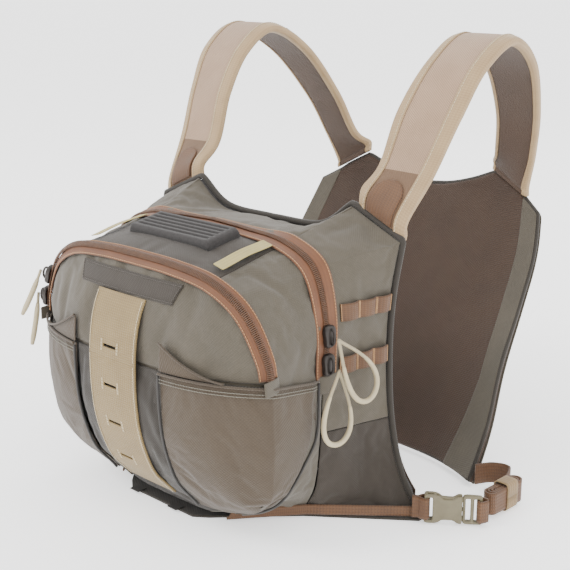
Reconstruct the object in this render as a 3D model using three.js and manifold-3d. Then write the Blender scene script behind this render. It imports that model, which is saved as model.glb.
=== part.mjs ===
// Chest-worn fishing vest: a two-compartment fly pack carried on the chest, with padded shoulder
// straps, a mesh yoke for the upper back and a webbing belt with a side-release buckle on each side.
// Millimetres, +Z up, the pack's front faces -Y, the wearer stands between the pack and the yoke.
// The origin is on the underside of the base panel, on the plane of symmetry.
import * as THREE from "three";
import { mergeVertices } from "three/addons/utils/BufferGeometryUtils.js";
import Module from "manifold-3d";

const wasm = await Module();
wasm.setup();

// ---------------------------------------------------------------- driving dimensions
const SEAM_GAP = 0.4; // left between two pieces that are sewn or rest on each other
const FABRIC = 2; // coated nylon with its lining
const BASE_THICKNESS = 2.5;

const FRONT_WIDE = 150; // half width of the front compartment at the pocket tops
const FRONT_FOOT = 54; // half width of the front compartment where it meets the base
const FRONT_TOP = 237; // height of the front zip over the middle
const FRONT_SHOULDER = 90; // half width of the front zip's level stretch
const FRONT_EDGE_Y = -74; // front zip over the middle
const FRONT_BELLY = 26; // how far the front panel bulges in front of the zip
const FLAP_HINGE_Z = 152; // fold line of the front flap, level with the ends of its zip

const ZIP_WIDE = 136; // half width of the arch of the main zip
const ZIP_FOOT = 112; // half width of the pack's foot under the main zip
const ZIP_TOP = 253; // height of the main zip over the middle
const ZIP_SHOULDER = 88; // half width of the main zip's level stretch
const ZIP_Y = 15; // plane of the main zip

const REAR_WIDE = 147; // half width of the back panel
const REAR_FOOT = 192; // half width of the pack at the belt
const WING_WRAP = 9; // how far the belt pulls the foot of each side forward
const REAR_TOP = 244; // height of the back panel between its wings
const REAR_Y = 88; // plane where the side panels meet the back panel
const WING_OUTER = [157, 246]; // outer top corner of a strap wing, x and z
const WING_INNER = [100, 271]; // inner top corner of a strap wing, x and z
const PAD_FOOT = 178; // half width of the back padding at its foot
const BACK_FOAM = 6;
const BACK_MESH = 1.8;
const FOAM_SEAT = 0.7; // how far the foam reaches in between the side panels
const FOAM_INSET = 5; // how far the foam, its mesh and the divider stop inside their seam lines
const MESH_INSET = 3;
const DIVIDER_INSET = 7;

const TAPE = 1.4; // thickness of a zip tape
const FRONT_TAPE = 9.5; // width of each half of the front zip
const MAIN_TAPE = 13; // width of each half of the main zip
const TAPE_GAP = 0.8; // between a tape and the panel that it is sewn over
const COIL_WIDE = 5.5;
const COIL_HIGH = 2.2;

const DAISY_WIDE = 62; // webbing ladder down the front
const DAISY_PROUD = 3.4; // how far it stands off the front panel
const DAISY_SLOT = [16, 2.4]; // length and height of a webbing slot
const DAISY_PITCH = 35;
const DAISY_FIRST = 45; // from the top of the webbing to its first slot
const POCKET_INNER = 57; // inner edge of a stretch pocket
const WEBBING = 2; // thickness of webbing
const SIDE_WEBBING = 15; // height of a gear loop on the side
const BELT_WIDE = 20; // width of the belt webbing

const STRAP_THICK = 9;
const STRAP_FOLD = [168, 391]; // line over the shoulder where the rear harness swings, y and z
const STRAP_TOP_Z = 413;
const STRAP_TUCK = 1.5; // how far a strap's foot reaches down behind the wing's top edge
const YOKE_SEAT = 3; // keeps a strap's straight end off the yoke's rounded top
const SWING_GAP = 0.9; // left between the two halves of a strap at that line

const YOKE_PAD = 7;
const YOKE_SHELL = 1.6;
const YOKE_TOP = [330, 246]; // top of the yoke on the plane of symmetry, y and z
const YOKE_FOOT_Y = 188; // foot of the yoke on the plane of symmetry
const YOKE_FOOT_Z = 0.3; // the foot just clears the ground
const YOKE_HORN = 22; // how far the yoke rises from its middle to the straps
const YOKE_FOOT_WIDE = 183; // half width of the yoke at its foot

const BUCKLE_FROM = [198, 77]; // where the belt enters the right buckle, x and y
const BUCKLE_TURN = 36; // degrees the buckle points rearwards from +X
const BUCKLE_WIDE = 27;
const BUCKLE_THICK = 9;
const BUCKLE_WALL = 1.8;
const BUCKLE_RUN = 0.4; // clearance of the prongs in the socket
const SOCKET_LONG = 33;
const PRONG_LONG = 24;
const LADDER_LONG = 17; // the webbing adjuster at the outer end of the buckle
const BUCKLE_LIFT = 1.5; // the buckle's lower edge above the ground
const BUNDLE = [15, 52, 26]; // rolled spare webbing: thickness, length, height
const BUNDLE_AT = [232, 147]; // middle of the rolled webbing, x and y

const SLIDER = [13, 21, 6]; // zip slider: across the coil, along it, height
const SLIDER_RUN = 0.6; // clearance of a slider round the coil
const CORNER = 0.6; // how far a slider stands off a seam that bends
const FLAP_SIDE = 1.3; // how far a front slider stops short of the zip's middle
const CORD = 3; // cord of the main zip's pulls
const PULL_LOOP = [38, 66]; // width and length of a cord pull
const SLEEVE = 5.5; // thickness of the sleeve on a front zip's pull
const SLEEVE_LONG = 44;

// ---------------------------------------------------------------- colours
const cloth = (color, roughness = 0.85) =>
  new THREE.MeshStandardMaterial({ color, roughness, metalness: 0 });
const SAGE = cloth(0x807d6e);
const TAUPE = cloth(0x766b5a);
const DARK = cloth(0x554a3f);
const CHARCOAL = cloth(0x56524f, 0.95);
const COPPER = cloth(0x94663a, 0.7);
const SAND = cloth(0xb8aa82);
const MESH = cloth(0x6b5642, 0.95);
const TAN = cloth(0xc0ab84);
const CREAM = cloth(0xbdb596, 0.6);
const LIME = cloth(0xd2c987);
const BUCKLE = cloth(0x9c9680, 0.5);
const BLACK = new THREE.MeshStandardMaterial({ color: 0x25232a, roughness: 0.4, metalness: 0.6 });

// ---------------------------------------------------------------- curves and solids
const V = (x, y, z) => new THREE.Vector3(x, y, z);
const clamp = THREE.MathUtils.clamp;
const lerp = THREE.MathUtils.lerp;

// A smooth curve through its points. At a corner the curve breaks instead of rounding.
function outline(points, corners = []) {
  const P = points.map((p) => V(...p));
  const last = P.length - 1;
  const slope = (i, from) => {
    if (i === 0) return P[1].clone().sub(P[0]);
    if (i === last) return P[last].clone().sub(P[last - 1]);
    if (!corners.includes(i)) return P[i + 1].clone().sub(P[i - 1]).multiplyScalar(0.5);
    return from < i ? P[i].clone().sub(P[i - 1]) : P[i + 1].clone().sub(P[i]);
  };
  return (t) => {
    const i = clamp(Math.floor(t), 0, last - 1);
    const s = t - i;
    const s2 = s * s;
    const s3 = s2 * s;
    return V(0, 0, 0)
      .addScaledVector(P[i], 2 * s3 - 3 * s2 + 1)
      .addScaledVector(slope(i, i + 1), s3 - 2 * s2 + s)
      .addScaledVector(P[i + 1], 3 * s2 - 2 * s3)
      .addScaledVector(slope(i + 1, i), s3 - s2);
  };
}

// The same, for a curve of plain numbers over evenly spaced stations from 0 to 1.
function profile(values, corners = []) {
  const curve = outline(values.map((v) => [v, 0, 0]), corners);
  return (s) => curve(clamp(s, 0, 1) * (values.length - 1)).x;
}

function closedGeometry(points, index) {
  const geometry = new THREE.BufferGeometry();
  geometry.setAttribute("position", new THREE.Float32BufferAttribute(points.flatMap((p) => p.toArray()), 3));
  let volume = 0;
  for (let i = 0; i < index.length; i += 3) {
    const [a, b, c] = [0, 1, 2].map((k) => points[index[i + k]]);
    volume += a.dot(b.clone().cross(c));
  }
  if (volume < 0) index.reverse();
  geometry.setIndex(index);
  geometry.computeVertexNormals();
  return geometry;
}

// A sheet with its outer face on surface(u, v), u and v from 0 to 1, and its thickness on the side
// away from "outside". lift moves the whole sheet outwards, off a layer beneath it.
function sheet(surface, columns, rows, thickness, outside, lift = 0) {
  const outer = [];
  const inner = [];
  const step = 1e-3;
  for (let j = 0; j <= rows; j++)
    for (let i = 0; i <= columns; i++) {
      const u = i / columns;
      const v = j / rows;
      const p = surface(u, v);
      const across = surface(Math.min(u + step, 1), v).sub(surface(Math.max(u - step, 0), v));
      const along = surface(u, Math.min(v + step, 1)).sub(surface(u, Math.max(v - step, 0)));
      const normal = across.cross(along).normalize();
      if (normal.dot(typeof outside === "function" ? outside(p) : outside) < 0) normal.negate();
      outer.push(p.clone().addScaledVector(normal, lift));
      inner.push(p.clone().addScaledVector(normal, lift - thickness));
    }
  const index = [];
  const quad = (a, b, c, d) => index.push(a, b, c, a, c, d);
  const at = (i, j) => j * (columns + 1) + i;
  const under = outer.length;
  for (let j = 0; j < rows; j++)
    for (let i = 0; i < columns; i++) {
      const [a, b, c, d] = [at(i, j), at(i + 1, j), at(i + 1, j + 1), at(i, j + 1)];
      quad(a, b, c, d);
      // The inner face is split along the same diagonals, so that layers stay parallel.
      index.push(under + a, under + c, under + b, under + a, under + d, under + c);
    }
  for (let i = 0; i < columns; i++) {
    quad(under + at(i, 0), under + at(i + 1, 0), at(i + 1, 0), at(i, 0));
    quad(at(i, rows), at(i + 1, rows), under + at(i + 1, rows), under + at(i, rows));
  }
  for (let j = 0; j < rows; j++) {
    quad(at(0, j), at(0, j + 1), under + at(0, j + 1), under + at(0, j));
    quad(under + at(columns, j), under + at(columns, j + 1), at(columns, j + 1), at(columns, j));
  }
  return closedGeometry([...outer, ...inner], index);
}

// A bar whose section is a list of [across, out] pairs, carried along stations of
// {p, across, out}: the zips, whose tape and coil are one section.
function bar(stations, section) {
  const n = section.length;
  const points = stations.flatMap(({ p, across, out }) =>
    section.map(([a, b]) => p.clone().addScaledVector(across, a).addScaledVector(out, b)),
  );
  const index = [];
  for (let j = 0; j + 1 < stations.length; j++)
    for (let i = 0; i < n; i++) {
      const k = (i + 1) % n;
      const [a, b, c, d] = [j * n + i, j * n + k, (j + 1) * n + k, (j + 1) * n + i];
      index.push(a, b, c, a, c, d);
    }
  const cap = THREE.ShapeUtils.triangulateShape(section.map(([a, b]) => new THREE.Vector2(a, b)), []);
  const end = (stations.length - 1) * n;
  // The side faces run against the section's own turn, so the first cap keeps it or reverses it.
  const turn = THREE.ShapeUtils.isClockWise(section.map(([a, b]) => new THREE.Vector2(a, b)));
  for (const [a, b, c] of cap) {
    if (turn) index.push(a, b, c, end + c, end + b, end + a);
    else index.push(c, b, a, end + a, end + b, end + c);
  }
  return closedGeometry(points, index);
}

function solidOf(geometry) {
  const plain = (geometry.index ? geometry.toNonIndexed() : geometry.clone());
  plain.deleteAttribute("normal");
  plain.deleteAttribute("uv");
  const merged = mergeVertices(plain, 1e-3);
  return new wasm.Manifold(
    new wasm.Mesh({
      numProp: 3,
      vertProperties: merged.attributes.position.array,
      triVerts: new Uint32Array(merged.index.array),
    }),
  );
}
function geometryOf(solid) {
  const { numProp, vertProperties, triVerts } = solid.getMesh();
  const positions = [];
  for (let i = 0; i < vertProperties.length; i += numProp) positions.push(...vertProperties.slice(i, i + 3));
  const geometry = new THREE.BufferGeometry();
  geometry.setAttribute("position", new THREE.Float32BufferAttribute(positions, 3));
  geometry.setIndex([...triVerts]);
  geometry.computeVertexNormals();
  return geometry;
}
const box = (x, y, z, at = [0, 0, 0]) => new THREE.BoxGeometry(x, y, z).translate(...at);
const cut = (geometry, ...tools) =>
  geometryOf(tools.reduce((s, tool) => s.subtract(solidOf(tool)), solidOf(geometry)));
const join = (...pieces) => geometryOf(pieces.map(solidOf).reduce((a, b) => a.add(b)));

const vest = new THREE.Group();
function place(name, geometry, material, parent = vest) {
  const mesh = new THREE.Mesh(geometry, material);
  mesh.name = name;
  parent.add(mesh);
  return mesh;
}
// A right-hand piece and its mirror image on the left.
function mirrorImage(geometry) {
  const copy = geometry.clone().scale(-1, 1, 1);
  const count = copy.index ? copy.index.count : copy.attributes.position.count;
  const order = Array.from({ length: count }, (_, i) => (copy.index ? copy.index.getX(i) : i));
  copy.setIndex(order.reverse());
  copy.computeVertexNormals();
  return copy;
}
function placePair(name, geometry, material) {
  place(`${name}_right`, geometry, material);
  place(`${name}_left`, mirrorImage(geometry), material);
}

// ---------------------------------------------------------------- the pack's three seam lines
// Right halves, from the foot (0) over the shoulder (4 to 6) to the middle of the top (8).
const FOOT_Z = BASE_THICKNESS + 1.4;
const ZIP_END = 2.85; // station of the zips' lower ends on these lines
const SHOULDER = 6;
const TOP = 8;
const frontEdge = outline([
  [FRONT_FOOT, FRONT_EDGE_Y + 28, FOOT_Z],
  [FRONT_WIDE - 18, FRONT_EDGE_Y + 20, 38],
  [FRONT_WIDE - 1, FRONT_EDGE_Y + 14, 85],
  [FRONT_WIDE - 1, FRONT_EDGE_Y + 12, FLAP_HINGE_Z],
  [FRONT_WIDE - 7, FRONT_EDGE_Y + 10, FRONT_TOP - 58],
  [FRONT_WIDE - 27, FRONT_EDGE_Y + 6, FRONT_TOP - 26],
  [FRONT_SHOULDER, FRONT_EDGE_Y + 2, FRONT_TOP - 7],
  [FRONT_SHOULDER / 2, FRONT_EDGE_Y + 0.5, FRONT_TOP - 1],
  [0, FRONT_EDGE_Y, FRONT_TOP],
]);
const mainEdge = outline([
  [ZIP_FOOT, ZIP_Y, FOOT_Z],
  [ZIP_WIDE - 8, ZIP_Y, 35],
  [ZIP_WIDE - 2, ZIP_Y, 85],
  [ZIP_WIDE, ZIP_Y, 144],
  [ZIP_WIDE, ZIP_Y, ZIP_TOP - 66],
  [ZIP_WIDE - 14, ZIP_Y, ZIP_TOP - 23],
  [ZIP_SHOULDER, ZIP_Y, ZIP_TOP - 6],
  [ZIP_SHOULDER / 2, ZIP_Y, ZIP_TOP - 2],
  [0, ZIP_Y, ZIP_TOP],
]);
const rearEdge = outline(
  [
    [REAR_FOOT, REAR_Y - WING_WRAP, FOOT_Z],
    [REAR_WIDE + 17, REAR_Y - WING_WRAP / 3, 36],
    [REAR_WIDE + 2, REAR_Y, 84],
    [REAR_WIDE - 2, REAR_Y, 144],
    [REAR_WIDE + 1, REAR_Y, 196],
    [WING_OUTER[0], REAR_Y, WING_OUTER[1]],
    [WING_INNER[0], REAR_Y, WING_INNER[1]],
    [WING_INNER[0] - 38, REAR_Y, REAR_TOP + 3],
    [0, REAR_Y, REAR_TOP],
  ],
  [5, 6],
);
const between = (a, b, t, w) => a(t).lerp(b(t), w);
// Any station over the whole arch: u from 0 at the right end to 1 at the left end.
function mirrored(curve, u, start) {
  const t = lerp(start, 2 * TOP - start, u);
  const p = curve(t <= TOP ? t : 2 * TOP - t);
  return t <= TOP ? p : p.setX(-p.x);
}
const INSIDE = V(0, 20, 120); // a point well inside the pack
const fromInside = (p) => p.clone().sub(INSIDE);

// The front panel: horizontal rulings across the front edge line, bulging towards -Y.
const FRONT_ROUNDING = 3.2;
const bellyAt = profile([-26, -11, 8, 18, 24, 26.5, 27, 26, 22, 13, 1].map((v) => (v * FRONT_BELLY) / 26));
function frontFace(t, r) {
  const edge = frontEdge(t);
  const middle = FRONT_EDGE_Y - bellyAt(edge.z / FRONT_TOP);
  return V(edge.x * r, lerp(middle, edge.y, Math.abs(r) ** FRONT_ROUNDING), edge.z);
}
// The station of the front edge line at a height, and the point of the front panel at x and z.
function frontStation(z) {
  let [low, high] = [0, TOP];
  for (let i = 0; i < 40; i++) {
    const middle = (low + high) / 2;
    if (frontEdge(middle).z < z) low = middle;
    else high = middle;
  }
  return low;
}
function onFront(x, z) {
  const t = frontStation(z);
  return frontFace(t, x / frontEdge(t).x);
}

// ---------------------------------------------------------------- base, back panel and divider
function plate(points, depth) {
  const shape = new THREE.Shape(points.map(([a, b]) => new THREE.Vector2(a, b)));
  return new THREE.ExtrudeGeometry(shape, { depth, bevelEnabled: false });
}
const bothSides = (half) => [...half, ...half.map(([a, b]) => [-a, b]).reverse()];
function basePanel() {
  const edge = [frontEdge, mainEdge, rearEdge].map((curve) => curve(0));
  const half = [[FRONT_FOOT - 12, edge[0].y - 9], ...edge.map((p) => [p.x, p.y])];
  half.push([REAR_FOOT, REAR_Y], [PAD_FOOT, REAR_Y + BACK_FOAM + BACK_MESH]);
  place("base_panel", plate(bothSides(half), BASE_THICKNESS), DARK);
}
// An upright plate in the outline of a seam line, drawn in by inset.
function uprightPlate(curve, inset, y, depth, steps = 24) {
  const half = [];
  for (let i = 0; i <= steps; i++) {
    const p = curve((i / steps) * TOP);
    const inward = V(0, p.y, 110).sub(p).normalize();
    p.addScaledVector(inward, inset);
    half.push([Math.min(p.x, PAD_FOOT), Math.max(p.z, FOOT_Z)]);
  }
  const points = [...half, ...half.slice(0, -1).map(([a, b]) => [-a, b]).reverse()];
  return plate(points, depth).rotateX(Math.PI / 2).translate(0, y + depth, 0);
}
basePanel();
const FOAM_Y = REAR_Y - FOAM_SEAT;
place("divider_panel", uprightPlate(mainEdge, DIVIDER_INSET, ZIP_Y - FABRIC / 2, FABRIC), TAUPE);
const foamDepth = BACK_FOAM + FOAM_SEAT - SEAM_GAP;
place("back_foam_pad", uprightPlate(rearEdge, FOAM_INSET, FOAM_Y, foamDepth), CHARCOAL);
place("back_mesh_face", uprightPlate(rearEdge, MESH_INSET, REAR_Y + BACK_FOAM, BACK_MESH), MESH);

// ---------------------------------------------------------------- zips
// A station on a seam line: across points from the line towards another seam line or surface.
function seamStation(curve, towards, u, start) {
  const p = mirrored(curve, u, start);
  const span = 1e-3;
  const along = mirrored(curve, Math.min(u + span, 1), start);
  along.sub(mirrored(curve, Math.max(u - span, 0), start));
  const across = mirrored(towards, u, start).sub(p);
  const out = along.normalize().clone().cross(across).normalize();
  if (out.dot(fromInside(p)) < 0) out.negate();
  across.addScaledVector(along, -across.dot(along)).normalize();
  return { p, across, out };
}
const stations = (count, make) => Array.from({ length: count + 1 }, (_, i) => make(i / count));
const ZIP_STEPS = 52;
// The front zip is two halves that part along the seam line: one rides on the deck, the other on
// the flap. Each half is a tape with half of the coil on its free edge.
const HALF_COIL = [TAPE + 0.2, TAPE + 0.2 + COIL_WIDE / 2]; // from the seam line to its two edges
const halfSection = (width) => [
  [HALF_COIL[0], -TAPE],
  [width, -TAPE],
  [width, 0],
  [HALF_COIL[1], 0],
  [HALF_COIL[1], COIL_HIGH],
  [HALF_COIL[0], COIL_HIGH],
];
const FRONT_ZIP_START = 3.12;
function frontInward(t) {
  const edge = frontEdge(t);
  const inward = V(0, 0, FLAP_HINGE_Z - 20).sub(edge).setY(0).normalize().multiplyScalar(FRONT_TAPE);
  return onFront(edge.x + inward.x, edge.z + inward.z);
}
function frontZipHalf(towards) {
  const line = stations(ZIP_STEPS, (u) => seamStation(frontEdge, towards, u, FRONT_ZIP_START));
  return bar(line, halfSection(FRONT_TAPE));
}
place("front_zip_inner", frontZipHalf(mainEdge), COPPER);
place("front_zip_outer", frontZipHalf(frontInward), COPPER);
// The main zip lies across its seam line, its tape following the panel on each side.
const toFront = (u) => seamStation(mainEdge, frontEdge, u, ZIP_END);
const toRear = (u) => seamStation(mainEdge, rearEdge, u, ZIP_END);
function mainStation(u) {
  const [ahead, behind] = [toFront(u), toRear(u)];
  const out = ahead.out.add(behind.out).normalize();
  const across = ahead.across.sub(behind.across);
  across.addScaledVector(out, -across.dot(out)).normalize();
  return { p: ahead.p, across, out };
}
const COIL_SECTION = [
  [-COIL_WIDE / 2, -TAPE / 2],
  [COIL_WIDE / 2, -TAPE / 2],
  [COIL_WIDE / 2, COIL_HIGH],
  [-COIL_WIDE / 2, COIL_HIGH],
];
function mainTape(u, v) {
  const a = lerp(-MAIN_TAPE, MAIN_TAPE, u);
  const side = a > 0 ? toRear(v) : toFront(v);
  return side.p.addScaledVector(side.across, Math.abs(a));
}
const mainCoil = bar(stations(ZIP_STEPS, mainStation), COIL_SECTION);
place("main_zip", join(sheet(mainTape, 4, ZIP_STEPS, TAPE, fromInside), mainCoil), COPPER);

// ---------------------------------------------------------------- side, top and front panels
const UNDER_TAPE = -(TAPE + TAPE_GAP);
const TRIM = [0.035, 0.965]; // a panel stops short of its seam lines by this share of its width
// A panel between two seam lines, from one station to another.
function seamPanel(a, b, from, to, rows, columns, lift) {
  const surface = (u, v) => between(a, b, lerp(from, to, v), lerp(...TRIM, u));
  return sheet(surface, columns, rows, FABRIC, fromInside, lift);
}
// A panel over the top, from one shoulder to the other.
function topPanel(a, b, from, lift) {
  const surface = (u, v) => mirrored(a, v, from).lerp(mirrored(b, v, from), lerp(...TRIM, u));
  return sheet(surface, 2, 24, FABRIC, fromInside, lift);
}
const HEM_STATION = 2; // where the dark foot of the pack begins
const JOIN = 0.05; // gap between two panels that meet at an angle over the shoulder, in stations
const FLAT_JOIN = 0.006; // the same, where they run on in one line
placePair("front_side", seamPanel(frontEdge, mainEdge, 0, SHOULDER - JOIN, 20, 3, UNDER_TAPE), SAGE);
place("deck_panel", topPanel(frontEdge, mainEdge, SHOULDER + JOIN, UNDER_TAPE), DARK);
placePair("lower_wing", seamPanel(mainEdge, rearEdge, 0, HEM_STATION - FLAT_JOIN, 8, 3, UNDER_TAPE), DARK);
const rearSide = seamPanel(mainEdge, rearEdge, HEM_STATION + FLAT_JOIN, SHOULDER - JOIN, 16, 3, UNDER_TAPE);
placePair("rear_side", rearSide, SAGE);
place("rear_top_panel", topPanel(mainEdge, rearEdge, SHOULDER + JOIN, UNDER_TAPE), SAGE);

// The front is one panel with a fold: the flap above it swings down once the front zip is open.
const FOLD_STATION = 3;
const FRONT_INSET = 3.5; // keeps the front panel's edge clear of the side panels
const FRONT_LIFT = UNDER_TAPE - 1.1; // the front lies a little deeper, as its zip's tape is straighter
function frontPanel(from, to, rows) {
  const surface = (u, v) => {
    const t = lerp(from, to, v);
    const room = 1 - FRONT_INSET / frontEdge(t).x;
    return frontFace(t, lerp(-room, room, u));
  };
  return sheet(surface, 18, rows, FABRIC, V(0, -1, 0), FRONT_LIFT);
}
place("front_panel", frontPanel(0.1, FOLD_STATION - 2 * FLAT_JOIN, 16), TAUPE);
place("front_flap", frontPanel(FOLD_STATION + 2 * FLAT_JOIN, TOP - 1.1, 12), SAGE);

// A piece laid on the front panel, between two heights and two side lines of x against z.
const ON_PANEL = FRONT_LIFT + 2 * SEAM_GAP;
function onFrontPanel(bottom, top, left, right, thickness, lift, columns = 4, rows = 14, proud = () => 0) {
  const surface = (u, v) => {
    const z = lerp(bottom, top, v);
    return onFront(lerp(left(z), right(z), u), z).add(V(0, -proud(z), 0));
  };
  return sheet(surface, columns, rows, thickness, V(0, -1, 0), ON_PANEL + thickness + lift);
}
const FLAP_GAP = 0.8; // half the gap at the fold
const LAYER = 1;
place(
  "recess_panel",
  onFrontPanel(22, FLAP_HINGE_Z - FLAP_GAP, () => -POCKET_INNER + 4, () => POCKET_INNER - 4, LAYER, 0),
  DARK,
);
// The daisy chain is webbing with slots to hang tools from. It is sewn down at its top and foot
// and stands off the panel between them.
const DAISY_TOP = 206;
const DAISY_FOOT = 24;
const daisyProud = (z) => {
  const h = (z - DAISY_FOOT) / (DAISY_TOP - DAISY_FOOT);
  return DAISY_PROUD * Math.sin(Math.PI * clamp(h, 0, 1)) ** 0.5;
};
function daisyChain(bottom, top, slots) {
  const half = DAISY_WIDE / 2;
  const lift = LAYER + SEAM_GAP;
  const band = onFrontPanel(bottom, top, () => -half, () => half, WEBBING, lift, 4, 10, daisyProud);
  const slotCut = (z) => box(DAISY_SLOT[0], 30, DAISY_SLOT[1], [-3, onFront(0, z).y, z]);
  return cut(band, ...slots.map(slotCut));
}
const slotHeights = [0, 1, 2, 3].map((i) => DAISY_TOP - DAISY_FIRST - i * DAISY_PITCH);
const above = (z) => z > FLAP_HINGE_Z;
place(
  "daisy_chain_lower",
  daisyChain(DAISY_FOOT, FLAP_HINGE_Z - FLAP_GAP, slotHeights.filter((z) => !above(z))),
  SAND,
);
place(
  "daisy_chain_upper",
  daisyChain(FLAP_HINGE_Z + FLAP_GAP, DAISY_TOP, slotHeights.filter(above)),
  SAND,
);
const PATCH = [66, 60, 224]; // half width at its top and foot, and the height of its top
const patchEdge = (z) => lerp(PATCH[1], PATCH[0], (z - DAISY_TOP) / (PATCH[2] - DAISY_TOP));
place(
  "front_patch",
  onFrontPanel(DAISY_TOP + 2 * SEAM_GAP, PATCH[2], (z) => -patchEdge(z), patchEdge, LAYER + WEBBING, 0, 8, 4),
  DARK,
);
// Stretch pockets, from the daisy chain's recess round to the side.
const POCKET_PROUD = 5;
const POCKET_TOP = FLAP_HINGE_Z - FLAP_GAP;
const pocketOuter = (z) => frontEdge(frontStation(z)).x - 9;
placePair(
  "stretch_pocket",
  onFrontPanel(20, POCKET_TOP, () => POCKET_INNER, pocketOuter, POCKET_PROUD, 0.2, 6, 12),
  TAUPE,
);

// ---------------------------------------------------------------- deck: fly patch and pull tags
const FLY_PATCH = [104, 38, 9]; // foam block on the deck: width, depth, height
const FLY_PATCH_Y = -20;
const BEVEL = 3;
const deckHeight = (y) => {
  const w = (y - FRONT_EDGE_Y) / (ZIP_Y - FRONT_EDGE_Y);
  return lerp(FRONT_TOP, ZIP_TOP, w) + UNDER_TAPE;
};
const deckLean = Math.atan2(ZIP_TOP - FRONT_TOP, ZIP_Y - FRONT_EDGE_Y);
function flyPatch() {
  const [wide, deep, high] = FLY_PATCH;
  const ends = [
    [-wide / 2, 0],
    [wide / 2, 0],
    [wide / 2, high - BEVEL],
    [wide / 2 - BEVEL, high],
    [-wide / 2 + BEVEL, high],
    [-wide / 2, high - BEVEL],
  ];
  const block = plate(ends, deep).rotateX(Math.PI / 2).translate(0, deep / 2, 0);
  const grooves = [-2, -1, 0, 1, 2].map((i) => box(wide - 14, 2.4, 2.4, [0, i * 6, high]));
  const seat = deckHeight(FLY_PATCH_Y) + SEAM_GAP;
  return cut(block, ...grooves).rotateX(deckLean).translate(0, FLY_PATCH_Y, seat);
}
place("fly_patch", flyPatch(), CHARCOAL);
function deckTag() {
  const surface = (u, v) => {
    const y = lerp(-56, 2, v);
    return V(lerp(76, 88, u), y, deckHeight(y) - lerp(0.6, 3.6, u));
  };
  return sheet(surface, 1, 4, 1, V(0, 0, 1), 1 + SEAM_GAP);
}
placePair("deck_tag", deckTag(), LIME);

// ---------------------------------------------------------------- gear loops on the sides
// Each row of webbing lies on the side panel between the main zip and the back, and stands off it
// between its stitched bars so that a tool's clip goes behind it.
const LOOP_ROWS = { upper: 191, lower: 144 }; // height of each row
const LOOP_STANDOFF = 3;
const GEAR_STITCH = [0, 0.36, 0.7, 1]; // where a row is stitched down, along its length
const LOOP_THICK = 1.4;
function sidePoint(z, w) {
  let [low, high] = [HEM_STATION, SHOULDER - 1];
  for (let i = 0; i < 30; i++) {
    const t = (low + high) / 2;
    if (between(mainEdge, rearEdge, t, w).z < z) low = t;
    else high = t;
  }
  return between(mainEdge, rearEdge, low, w);
}
function gearLoop(height) {
  const surface = (u, v) => {
    const p = sidePoint(height + (v - 0.5) * SIDE_WEBBING, lerp(0.22, 0.985, u));
    const k = GEAR_STITCH.findIndex((g, i) => u <= GEAR_STITCH[i + 1]);
    const s = (u - GEAR_STITCH[k]) / (GEAR_STITCH[k + 1] - GEAR_STITCH[k]);
    p.x += LOOP_STANDOFF * Math.sin(Math.PI * clamp(s, 0, 1)) ** 0.7;
    return p;
  };
  return sheet(surface, 18, 1, LOOP_THICK, V(1, 0, 0), UNDER_TAPE + LOOP_THICK);
}
for (const [row, height] of Object.entries(LOOP_ROWS))
  placePair(`gear_loop_${row}`, gearLoop(height), COPPER);

// ---------------------------------------------------------------- zip sliders, pulls and garages
// A slider straddles the coil. It is drawn with its length along Z, facing +X, at the origin.
// flapSide is 0, or the side of it that is left off so that the flap can fold away from under it.
function slider(coil, flapSide = 0) {
  const [wide, long, high] = SLIDER;
  const nose = wide * 0.62;
  const middle = -flapSide * 3;
  const plan = [
    [-nose / 2, -long / 2],
    [nose / 2, -long / 2],
    [wide / 2, -long / 6],
    [wide / 2, long / 2],
    [-wide / 2, long / 2],
    [-wide / 2, -long / 6],
  ];
  const body = plate(plan, high).rotateY(Math.PI / 2).rotateX(Math.PI / 2);
  const channel = box(2 * (COIL_HIGH + SLIDER_RUN + CORNER), coil + 2 * SLIDER_RUN, long + 2);
  const bridge = join(
    box(3, 3, 3, [high + 1.2, middle, -long / 4]),
    box(3, 3, 3, [high + 1.2, middle, long / 4]),
    box(1.6, 3, long / 2 + 3, [high + 3.2, middle, 0]),
  );
  const whole = join(cut(body, channel), bridge);
  if (!flapSide) return whole;
  return cut(whole, box(4 * high, wide, long + 2, [0, flapSide * (wide / 2 - FLAP_SIDE), 0]));
}
// Where a slider sits: turned so that it runs along the zip and faces out of it.
function onZip(geometry, station, side, corner) {
  const along = station.across.clone().cross(station.out).normalize();
  if (along.z < 0) along.negate();
  const out = station.out.clone();
  const across = along.clone().cross(out);
  const p = station.p.clone().addScaledVector(out, SEAM_GAP + corner);
  if (side < 0) [p, out, along, across].forEach((v) => v.setX(-v.x));
  if (side < 0) across.negate();
  const frame = new THREE.Matrix4().makeBasis(out, across, along).setPosition(p);
  return geometry.clone().applyMatrix4(frame);
}
const mainAt = (t) => mainStation((t - ZIP_END) / (2 * TOP - 2 * ZIP_END));
const frontAt = (t) => {
  const u = (t - ZIP_END) / (2 * TOP - 2 * ZIP_END);
  const behind = seamStation(frontEdge, mainEdge, u, ZIP_END);
  const ahead = seamStation(frontEdge, frontInward, u, ZIP_END);
  const out = ahead.out.add(behind.out).normalize();
  const across = ahead.across.sub(behind.across);
  across.addScaledVector(out, -across.dot(out)).normalize();
  return { p: ahead.p, across, out };
};
const MAIN_SLIDERS = { main_slider_upper: 3.7, main_slider_lower: 3.11 };
const FRONT_SLIDERS = { front_slider_upper: 4.36, front_slider_lower: 3.52 };
for (const [name, t] of Object.entries(MAIN_SLIDERS))
  place(name, onZip(slider(COIL_WIDE), mainAt(t), 1, CORNER), BLACK);
for (const [name, t] of Object.entries(FRONT_SLIDERS))
  place(name, onZip(slider(2 * HALF_COIL[1], 1), frontAt(t), -1, CORNER / 2), BLACK);

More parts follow.
